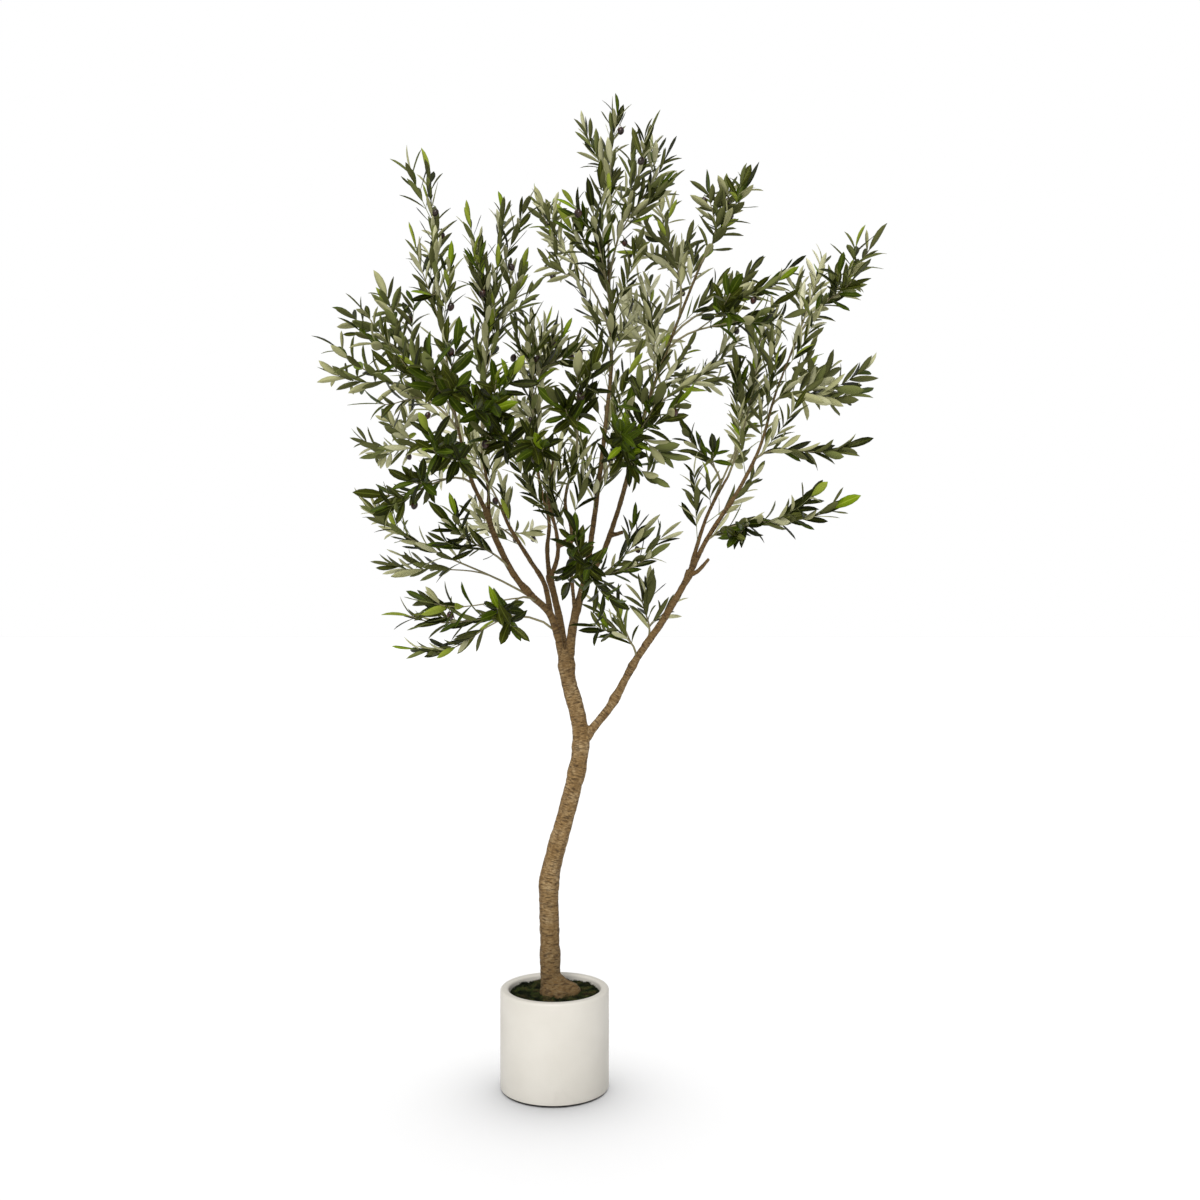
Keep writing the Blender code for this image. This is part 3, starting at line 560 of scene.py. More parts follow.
bm = bmesh.new()
for blade in range(BLADES):
    lean = Matrix.Rotation(math.radians(BLADE_LEANS[blade % 3]), 4, "X")
    lean = Matrix.Rotation(math.tau * blade / BLADES, 4, "Z") @ lean
    bmesh.ops.create_cone(
        bm, cap_ends=True, segments=3, radius1=TUFT_ROOT, radius2=TUFT_TIP, depth=TUFT_HEIGHT,
        matrix=lean @ Matrix.Translation((0, 0, TUFT_HEIGHT * TUFT_MIDDLE)),
    )
tuft = pattern_of(bm)

tufts = {"dark": [], "green": [], "dry": []}
for _ in range(TUFTS):
    reach = (inner_radius - WALL_SPARE) * math.sqrt(moss_random.random())
    bearing = moss_random.uniform(0, math.tau)
    x, y = reach * math.cos(bearing), reach * math.sin(bearing)
    lean = Matrix.Rotation(moss_random.uniform(0, TUFT_LEAN), 4, "X")
    spin = Matrix.Rotation(moss_random.uniform(0, math.tau), 4, "Z")
    size = Matrix.Scale(moss_random.uniform(*TUFT_SIZES), 4)
    patch = noise.noise(Vector((x, y, 0.0)) * PATCH_PITCH)
    patch += moss_random.uniform(-PATCH_BLUR, PATCH_BLUR)
    # Near the wall the tufts take the dark tone as painted shade of the planter's wall; elsewhere dark
    # tufts are random patches.
    if patch < DARK_BELOW or reach > inner_radius * WALL_SHADE:
        tone = "dark"
    else:
        tone = "dry" if patch > DRY_ABOVE else "green"
    tufts[tone].append((tuft, Matrix.Translation((x, y, moss_height(x, y))) @ spin @ lean @ size))
print({tone: len(placings) for tone, placings in tufts.items()}, "tufts")

# %% Finish the moss
MOSS_DARK = (0.006, 0.008, 0.003)
MOSS_GREEN = (0.026, 0.034, 0.009)
MOSS_DRY = (0.048, 0.038, 0.014)
TUFT_COLOURS = {
    "dark": ((0.005, 0.007, 0.002), (0.013, 0.018, 0.005)),
    "green": ((0.022, 0.032, 0.007), (0.055, 0.072, 0.016)),
    "dry": ((0.034, 0.026, 0.009), (0.095, 0.078, 0.028)),
}


def moss_finish(name, shadow, lit):
    """Dull moss: lit tips over darker hollows, with a dry brown cast here and there."""
    finish = Finish(name, lit, 0.95, gloss=0.15)
    place = finish.place()
    patches = finish.mottle(place, 90.0, 0.40, 0.60)
    dry = finish.mottle(place, 28.0, 0.56, 0.74)
    finish.paint(shadow, (patches, lit), (dry, MOSS_DRY))
    finish.bump(finish.mottle(place, 900.0, 0.2, 0.8), 0.0006)
    return finish


mat_finish = moss_finish("moss_mat", MOSS_DARK, MOSS_GREEN)
add_piece("moss_mat", moss_mesh, [mat_finish], ["moss_filling"])
for tone, placings in tufts.items():
    finish = moss_finish(f"moss_{tone}", *TUFT_COLOURS[tone])
    add_copies(f"moss_{tone}", placings, [finish], ["moss_filling"])

# %% [markdown]
# ## The wood
# The trunk and boughs are a bent steel core under one moulded skin, so nothing shows where
# a bough joins: the bark swells over each fork. Each limb is first a plain tapering tube on a
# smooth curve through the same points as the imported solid. The tubes are then melted into one
# body by a voxel remesh, which fills the forks as the moulding does, and the relief is pressed
# into that. Sculpting would look as good, but it couldn't be repeated from these numbers.

# %% Where the limbs run
# Name, start and tip radius, and points, in metres.
TRUNK = (
    "trunk", 0.0228, 0.0160,
    [(-0.008, 0.000, 0.170), (-0.009, 0.002, 0.235), (-0.011, 0.004, 0.335), (-0.012, 0.004, 0.438),
     (0.003, 0.000, 0.508), (0.026, -0.004, 0.590), (0.050, -0.006, 0.690), (0.056, -0.004, 0.748),
     (0.046, 0.000, 0.811), (0.029, 0.000, 0.871), (0.023, 0.000, 0.936)],
)

# Root lobes: bearing in degrees, reach, and radius.
ROOT_LOBES = [
    (-5, 0.052, 0.0235), (-48, 0.034, 0.0190), (-98, 0.025, 0.0180),
    (-150, 0.014, 0.0160), (60, 0.024, 0.0160), (140, 0.012, 0.0150),
]

LIMBS = [
    ("right_bough", 0.0098, 0.0070,
     [(0.052, -0.004, 0.735), (0.093, -0.006, 0.782), (0.127, -0.010, 0.829), (0.173, -0.020, 0.915),
      (0.228, -0.030, 0.996), (0.274, -0.045, 1.076), (0.287, -0.049, 1.104)]),
    ("left_bough", 0.0084, 0.0060,
     [(0.016, -0.004, 0.925), (-0.007, -0.020, 1.009), (-0.047, -0.035, 1.051), (-0.086, -0.050, 1.099),
      (-0.122, -0.070, 1.174), (-0.140, -0.080, 1.230)]),
    ("centre_bough", 0.0106, 0.0080,
     [(0.031, -0.004, 0.925), (0.042, -0.010, 1.000), (0.065, -0.010, 1.085)]),
    ("middle_bough", 0.0094, 0.0070,
     [(0.022, 0.009, 0.925), (0.006, 0.030, 1.017), (-0.014, 0.050, 1.097)]),
    ("right_outer_limb", 0.0058, 0.0020,
     [(0.286, -0.049, 1.098), (0.324, -0.052, 1.175), (0.388, -0.042, 1.273), (0.436, -0.030, 1.367),
      (0.469, -0.020, 1.478), (0.521, 0.000, 1.608)]),
    ("right_inner_limb", 0.0052, 0.0030,
     [(0.284, -0.044, 1.092), (0.302, -0.034, 1.157), (0.327, -0.010, 1.226), (0.359, 0.012, 1.285),
      (0.373, 0.022, 1.308)]),
    ("right_spur", 0.0050, 0.0036,
     [(0.283, -0.049, 1.094), (0.302, -0.064, 1.104), (0.323, -0.084, 1.128)]),
    ("left_outer_limb", 0.0050, 0.0030,
     [(-0.139, -0.080, 1.226), (-0.165, -0.100, 1.282), (-0.181, -0.120, 1.340), (-0.200, -0.140, 1.433)]),
    ("left_inner_limb", 0.0046, 0.0032,
     [(-0.136, -0.074, 1.214), (-0.137, -0.056, 1.269), (-0.146, -0.040, 1.319), (-0.154, -0.020, 1.357)]),
    ("left_back_bough", 0.0062, 0.0040,
     [(-0.007, -0.018, 1.006), (-0.022, 0.012, 1.076), (-0.056, 0.055, 1.130), (-0.100, 0.095, 1.198),
      (-0.127, 0.130, 1.255)]),
    ("middle_left_limb", 0.0054, 0.0032,
     [(-0.013, 0.050, 1.092), (-0.019, 0.070, 1.152), (-0.016, 0.090, 1.219), (-0.037, 0.120, 1.301),
      (-0.051, 0.140, 1.402)]),
    ("middle_right_limb", 0.0054, 0.0030,
     [(-0.012, 0.046, 1.086), (0.006, 0.026, 1.140), (0.002, 0.010, 1.195), (-0.014, -0.010, 1.260),
      (-0.002, -0.050, 1.335)]),
    ("top_limb", 0.0066, 0.0032,
     [(0.064, -0.010, 1.080), (0.078, -0.014, 1.170), (0.099, -0.012, 1.328), (0.111, 0.000, 1.438),
      (0.121, 0.010, 1.558), (0.115, 0.020, 1.778)]),
    ("centre_right_limb", 0.0064, 0.0030,
     [(0.060, -0.009, 1.068), (0.103, 0.004, 1.143), (0.142, 0.022, 1.256), (0.184, 0.040, 1.412),
      (0.223, 0.050, 1.533), (0.265, 0.050, 1.646), (0.316, 0.040, 1.772)]),
    ("front_limb", 0.0048, 0.0030,
     [(0.044, -0.010, 1.012), (0.036, -0.050, 1.110), (0.037, -0.070, 1.189), (0.025, -0.090, 1.250),
      (0.046, -0.130, 1.330)]),
]
# A lobe's course: share of its reach, height over the moss, and share of its radius.
LOBE_COURSE = [(0.00, 0.030, 0.88), (0.45, 0.008, 0.98), (0.85, 0.000, 0.92), (1.00, -0.008, 0.70)]

# Old pruning stubs: limb, share along it, heading, length, and radius.
STUBS = [
    ("middle_right_limb", 0.30, (0.92, -0.20, 0.35), 0.040, 0.0066),
    ("centre_right_limb", 0.17, (0.97, -0.10, 0.25), 0.024, 0.0046),
    ("left_bough", 0.30, (-0.70, -0.60, 0.40), 0.013, 0.0045),
]

# Knuckles where the bark has healed over: share along the limb, extra radius, and half width.
KNUCKLES = {
    "trunk": [
        (0.345, 0.0020, 0.020), (0.655, 0.0015, 0.014), (0.735, 0.0020, 0.012), (0.955, 0.0040, 0.013),
    ],
    "right_bough": [
        (0.05, 0.0030, 0.016), (0.28, 0.0024, 0.010), (0.46, 0.0018, 0.008), (0.99, 0.0026, 0.014),
    ],
    "left_bough": [(0.47, 0.0016, 0.012), (0.98, 0.0018, 0.012)],
    "centre_bough": [(0.60, 0.0012, 0.012)],
    "middle_bough": [(0.95, 0.0020, 0.012)],
    "right_outer_limb": [(0.30, 0.0012, 0.010)],
    "top_limb": [(0.35, 0.0010, 0.010)],
    "centre_right_limb": [(0.40, 0.0010, 0.010)],
    "left_outer_limb": [(0.45, 0.0010, 0.010)],
}

# %% Curves, and tubes that are extruded along them
BARK_STEPS = 8  # rings between two of a limb's points
COLLAR = 0.16  # how far a bough's base swells, as a share of its radius
COLLAR_REACH = 0.022
UPWARD_PULL = 0.35
BEND = 0.36
IDENTITY = Matrix.Identity(4)


def smooth_path(points, steps):
    """A curve through the points, with `steps` pieces between two of them."""
    points = [Vector(p) for p in points]
    ends = [2 * points[0] - points[1]] + points + [2 * points[-1] - points[-2]]
    path = []
    for before, start, end, after in zip(ends, ends[1:], ends[2:], ends[3:]):
        for step in range(steps):
            t = step / steps
            path.append(0.5 * (
                2 * start + (end - before) * t
                + (2 * before - 5 * start + 4 * end - after) * t ** 2
                + (3 * start - before - 3 * end + after) * t ** 3
            ))
    return path + [points[-1]]


def bend_path(start, leaving, tip, steps):
    """A stem's curve: it leaves along `leaving`, reaches for its tip, and turns up at the end."""
    chord = tip - start
    arriving = (chord.normalized() + Vector((0, 0, UPWARD_PULL))).normalized()
    near = start + leaving * chord.length * BEND
    far = tip - arriving * chord.length * BEND
    path = []
    for step in range(steps + 1):
        t = step / steps
        s = 1 - t
        path.append(s ** 3 * start + 3 * s * s * t * near + 3 * s * t * t * far + t ** 3 * tip)
    return path


def lengths_along(path):
    """How far along the path each of its points is."""
    travelled = [0.0]
    for a, b in zip(path, path[1:]):
        travelled.append(travelled[-1] + (b - a).length)
    return travelled


def place_on(path, share):
    """The point and the direction at a share of the path's length."""
    travelled = lengths_along(path)
    wanted = max(0.0, min(1.0, share)) * travelled[-1]
    for i in range(len(path) - 1):
        if wanted <= travelled[i + 1] or i == len(path) - 2:
            span = path[i + 1] - path[i]
            return path[i] + span * ((wanted - travelled[i]) / span.length), span.normalized()


def taper(path, start, end):
    """Radii that go evenly from start to end along the path."""
    travelled = lengths_along(path)
    return [start + (end - start) * t / travelled[-1] for t in travelled]


def ring_frames(path):
    """A frame for each ring of a tube, turned as little as possible from the last."""
    frames, side = [], None
    for i, place in enumerate(path):
        along = (path[min(i + 1, len(path) - 1)] - path[max(i - 1, 0)]).normalized()
        side = along.orthogonal() if side is None else side - along * side.dot(along)
        side.normalize()
        ring = Matrix((side, along.cross(side), along)).transposed().to_4x4()
        ring.translation = place
        frames.append(ring)
    return frames


def tube(path, radii, sides):
    """A closed tapering tube, in place: a disc that is extruded from ring to ring."""
    bm = bmesh.new()
    rings = [ring @ Matrix.Scale(radius, 4) for ring, radius in zip(ring_frames(path), radii)]
    bmesh.ops.create_circle(bm, cap_ends=True, segments=sides, radius=1.0, matrix=rings[0])
    end = bm.faces[:]
    for i in range(1, len(rings)):
        end, moved = pull_out(bm, end, keep=i == 1)
        bmesh.ops.transform(bm, verts=moved, matrix=rings[i] @ rings[i - 1].inverted())
    bmesh.ops.recalc_face_normals(bm, faces=bm.faces)
    return pattern_of(bm), IDENTITY


# %% Melt the limbs into one body
VOXEL = 0.0020
WOOD_SIDES = 20
STUB_SIDES = 14
STUB_COURSE = [(0.0, 1.2), (0.6, 1.0), (1.0, 0.9)]  # shares of its length and of its radius
WANDER, WANDER_PITCH = 0.09, 32  # how much, and how quickly, a limb's radius wanders
UNLIKE = 7.3  # keeps two limbs from wandering alike

paths, cores = {}, []
for name, start, end, points in [TRUNK] + LIMBS:
    path = smooth_path(points, BARK_STEPS)
    travelled = lengths_along(path)
    radii = taper(path, start, end)
    paths[name] = (path, radii)
    shaped = []
    for t, radius in zip(travelled, radii):
        collar = 0.0 if name == "trunk" else COLLAR * math.exp(-(t / COLLAR_REACH) ** 2)
        wander = WANDER * noise.noise(Vector((t * WANDER_PITCH, len(cores) * UNLIKE, 0.0)))
        swell = sum(
            extra * math.exp(-((t - share * travelled[-1]) / half) ** 2)
            for share, extra, half in KNUCKLES.get(name, ())
        )
        shaped.append(radius * (1 + collar + wander) + swell)
    cores.append(tube(path, shaped, WOOD_SIDES))

foot = Vector((TRUNK[3][0][0], TRUNK[3][0][1], SOIL_LEVEL))
for bearing, reach, radius in ROOT_LOBES:
    angle = math.radians(bearing)
    outward = Vector((math.cos(angle), math.sin(angle), 0.0)) * reach
    course = smooth_path([foot + outward * share + Vector((0, 0, h)) for share, h, _ in LOBE_COURSE], 4)
    stations = np.linspace(0, len(LOBE_COURSE) - 1, len(course))
    widths = radius * np.interp(stations, range(len(LOBE_COURSE)), [row[2] for row in LOBE_COURSE])
    cores.append(tube(course, widths, WOOD_SIDES))

for limb, share, heading, length, radius in STUBS:
    place, _ = place_on(paths[limb][0], share)
    reach = Vector(heading).normalized() * (length + paths[limb][1][0])
    course = [place + reach * part for part, _ in STUB_COURSE]
    cores.append(tube(course, [radius * width for _, width in STUB_COURSE], STUB_SIDES))

core_mesh = joined("wood_core", cores)
core = bpy.data.objects.new("wood_core", core_mesh)
scene.collection.objects.link(core)
melt = core.modifiers.new("melt", "REMESH")
melt.mode = "VOXEL"
melt.voxel_size = VOXEL
bpy.context.view_layer.update()
graph = bpy.context.evaluated_depsgraph_get()
bark_mesh = bpy.data.meshes.new_from_object(core.evaluated_get(graph), depsgraph=graph)
bark_mesh.name = "bark"
bpy.data.objects.remove(core, do_unlink=True)
print(f"melted {len(cores)} tubes into {len(bark_mesh.polygons)} faces")

# %% [markdown]
# ## The bark's relief
# Olive bark is moulded with long shallow ridges up the limb, short wrinkles across it, and
# small lumps. The relief has to follow each limb, so every point of the skin first finds
# the limb that it belongs to, and stores how far along and which way round it lies. The same
# numbers then drive the cracks in the bark's finish, so colour and relief run the same way.

# %% Find each point's place on its limb


def rods_of(courses):
    """The straight pieces of some (owner, path, radii) courses, as one array for each fact."""
    rods = {"starts": [], "ends": [], "travelled": [], "radii": [], "owners": []}
    for owner, path, widths in courses:
        so_far = lengths_along(path)
        for i in range(len(path) - 1):
            rods["starts"].append(path[i])
            rods["ends"].append(path[i + 1])
            rods["travelled"].append(so_far[i])
            rods["radii"].append(max(widths[i], widths[i + 1]))
            rods["owners"].append(owner)
    return {fact: np.array(values) for fact, values in rods.items()}


def away_from(points, rods):
    """Distance of each point from each rod's axis, and how far along the rod that is."""
    span = rods["ends"] - rods["starts"]
    reach = np.array(points)[:, None] - rods["starts"]
    share = np.clip((reach * span).sum(2) / (span ** 2).sum(1), 0, 1)
    return np.linalg.norm(reach - share[..., None] * span, axis=2), share


def unit(rows):
    """Each row as a vector of length 1."""
    return rows / np.linalg.norm(rows, axis=1)[:, None]


COARSE = BARK_STEPS // 2
APART = 3.7  # keeps the patterns of two limbs from matching
BLOCK = 4000  # points that are placed at once
WOOD_RODS = rods_of([
    (order, path[::COARSE], radii[::COARSE]) for order, (path, radii) in enumerate(paths.values())
])

points = np.zeros(len(bark_mesh.vertices) * 3)
bark_mesh.vertices.foreach_get("co", points)
points = points.reshape(-1, 3)
places = np.zeros_like(points)
for first in range(0, len(points), BLOCK):
    block = points[first:first + BLOCK]
    away, share = away_from(block, WOOD_RODS)
    rod = (away - WOOD_RODS["radii"]).argmin(axis=1)
    share = share[np.arange(len(block)), rod]
    span = (WOOD_RODS["ends"] - WOOD_RODS["starts"])[rod]
    out = block - WOOD_RODS["starts"][rod] - share[:, None] * span
    across = unit(np.cross(span, (0.0, -1.0, 0.0)))
    round_to = unit(np.cross(across, span))
    places[first:first + BLOCK] = np.stack([
        (out * across).sum(1), (out * round_to).sum(1),
        WOOD_RODS["travelled"][rod] + share * np.linalg.norm(span, axis=1)
        + WOOD_RODS["owners"][rod] * APART,
    ], axis=1)
print(f"placed {len(points)} points of bark along {len(paths)} limbs")

# %% Press the relief into the bark
RIDGE_DEPTH, RIDGE_PITCH = 0.0009, (130, 130, 22)
LUMP_DEPTH, LUMP_PITCH = 0.0009, (60, 60, 75)
WRINKLE_DEPTH, WRINKLE_PITCH = 0.0012, (60, 60, 190)
THICK_LIMB = 0.014
THIN_SHARE = 0.35  # of the relief, on the thinnest limb

bm = bmesh.new()
bm.from_mesh(bark_mesh)
bmesh.ops.smooth_vert(bm, verts=bm.verts, factor=0.5, use_axis_x=True, use_axis_y=True, use_axis_z=True)
bm.normal_update()
limb_place = bm.verts.layers.float_vector.new("limb_place")
for vert, place in zip(bm.verts, places):
    place = Vector(place)
    thick = min(1.0, place.xy.length / THICK_LIMB)
    ridge, lump, wrinkle = (
        noise.noise(place * Vector(pitch)) for pitch in (RIDGE_PITCH, LUMP_PITCH, WRINKLE_PITCH)
    )
    depth = ridge * RIDGE_DEPTH + lump * LUMP_DEPTH - max(0.0, wrinkle) * WRINKLE_DEPTH
    vert[limb_place] = place
    vert.co += vert.normal * depth * (THIN_SHARE + (1 - THIN_SHARE) * thick)
bm.to_mesh(bark_mesh)
bm.free()
bark_mesh.shade_smooth()

# %% [markdown]
# The bark is tan, with paler worn patches and a darker streak here and there. Among the leaves
# it turns a deeper brown, partly its own colour and partly painted shade of the crown, and at its
# foot, down in the planter, it is darkened by painted shade. Its fibres and short dark flecks run
# across the limb, so they come from coordinates squeezed along its length, and the streaks that
# run along it from coordinates stretched that way.

# %% Finish the bark
BARK = (0.300, 0.188, 0.074)
BARK_DARK = (0.135, 0.074, 0.024)
BARK_LIGHT = (0.390, 0.275, 0.138)
# Among the leaves: partly the bark's own deeper brown, partly painted shade of the crown.
BARK_DEEPER_AND_SHADED_IN_CROWN = (0.108, 0.066, 0.022)
BARK_ON_TOP = (0.105, 0.095, 0.040)
# Painted shade at the trunk's foot, down in the planter.
BARK_SHADE_AT_FOOT = (0.118, 0.079, 0.034)
FLECK = (0.040, 0.021, 0.008)
FOOT_HEIGHTS, CROWN_HEIGHTS, TIP_HEIGHTS = (0.20, 0.48), (0.82, 1.04), (1.20, 1.60)

bark = Finish("moulded_bark", BARK, 0.75, gloss=0.22)
limb_place = bark.nodes.new("ShaderNodeAttribute")
limb_place.attribute_name = "limb_place"
limb_place = limb_place.outputs["Vector"]


def squeezed(scale):
    """The place on the limb, scaled round it and along it."""
    mapping = bark.nodes.new("ShaderNodeMapping")
    mapping.inputs["Scale"].default_value = scale
    bark.join(limb_place, mapping.inputs["Vector"])
    return mapping.outputs["Vector"]


across, along = squeezed((0.45, 0.45, 1.7)), squeezed((1.0, 1.0, 0.16))
up = bark.height()
# Painted shade of the crown, with the bark's deeper brown there: it darkens going up into the leaves.
crown_tone_and_shade = bark.ramp(up, *CROWN_HEIGHTS, high=0.80)
# Painted shade: the bark darkens towards its foot, down in the planter.
low_down = bark.ramp(up, *FOOT_HEIGHTS, low=0.80, high=0.0)
near_tips = bark.ramp(up, *TIP_HEIGHTS)
patches = bark.mottle(limb_place, 30.0, 0.42, 0.66)
streaks = bark.mottle(along, 120.0, 0.50, 0.66)
fibres = bark.mottle(across, 260.0, 0.42, 0.60)
flecks = bark.mottle(across, 165.0, 0.54, 0.63)
plates = bark.group(crackle, across, Scale=120.0, Width=0.06)["Plate"]
bark.paint(
    BARK, (patches, BARK_LIGHT), (crown_tone_and_shade, BARK_DEEPER_AND_SHADED_IN_CROWN), (near_tips, BARK_ON_TOP),
    (low_down, BARK_SHADE_AT_FOOT), (bark.ramp(streaks, 0, 1, high=0.55), BARK_DARK),
    (bark.ramp(fibres, 0, 1, high=0.75), BARK_DARK), (bark.ramp(flecks, 0, 1, high=0.70), FLECK),
    (bark.ramp(plates, 0, 1, low=0.35, high=0.0), FLECK),
)
bark.roughen(fibres, 0.62, 0.85)
bark.bump(bark.combined("ADD", fibres, flecks), 0.0007, 0.8, sunk=True)
add_piece("bark", bark_mesh, [bark], WOOD_NODES)

# %% [markdown]
# ## How a spray grows
# The crown is 42 ready-made sprays, plugged into the boughs. Each has a stem, arms that fork
# from it, short twigs in turn round both, and opposite pairs of leaves, every pair turned a
# quarter from the one before, as olive leaves stand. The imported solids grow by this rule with
# few, large leaves. Here the same stems carry it on, to more twigs, finer shoots and leaves
# of their real size. Scattering particles over the stems would be quicker, but the rule
# gives true pairs, keeps each spray to its own space, and leaves the sky open between them.

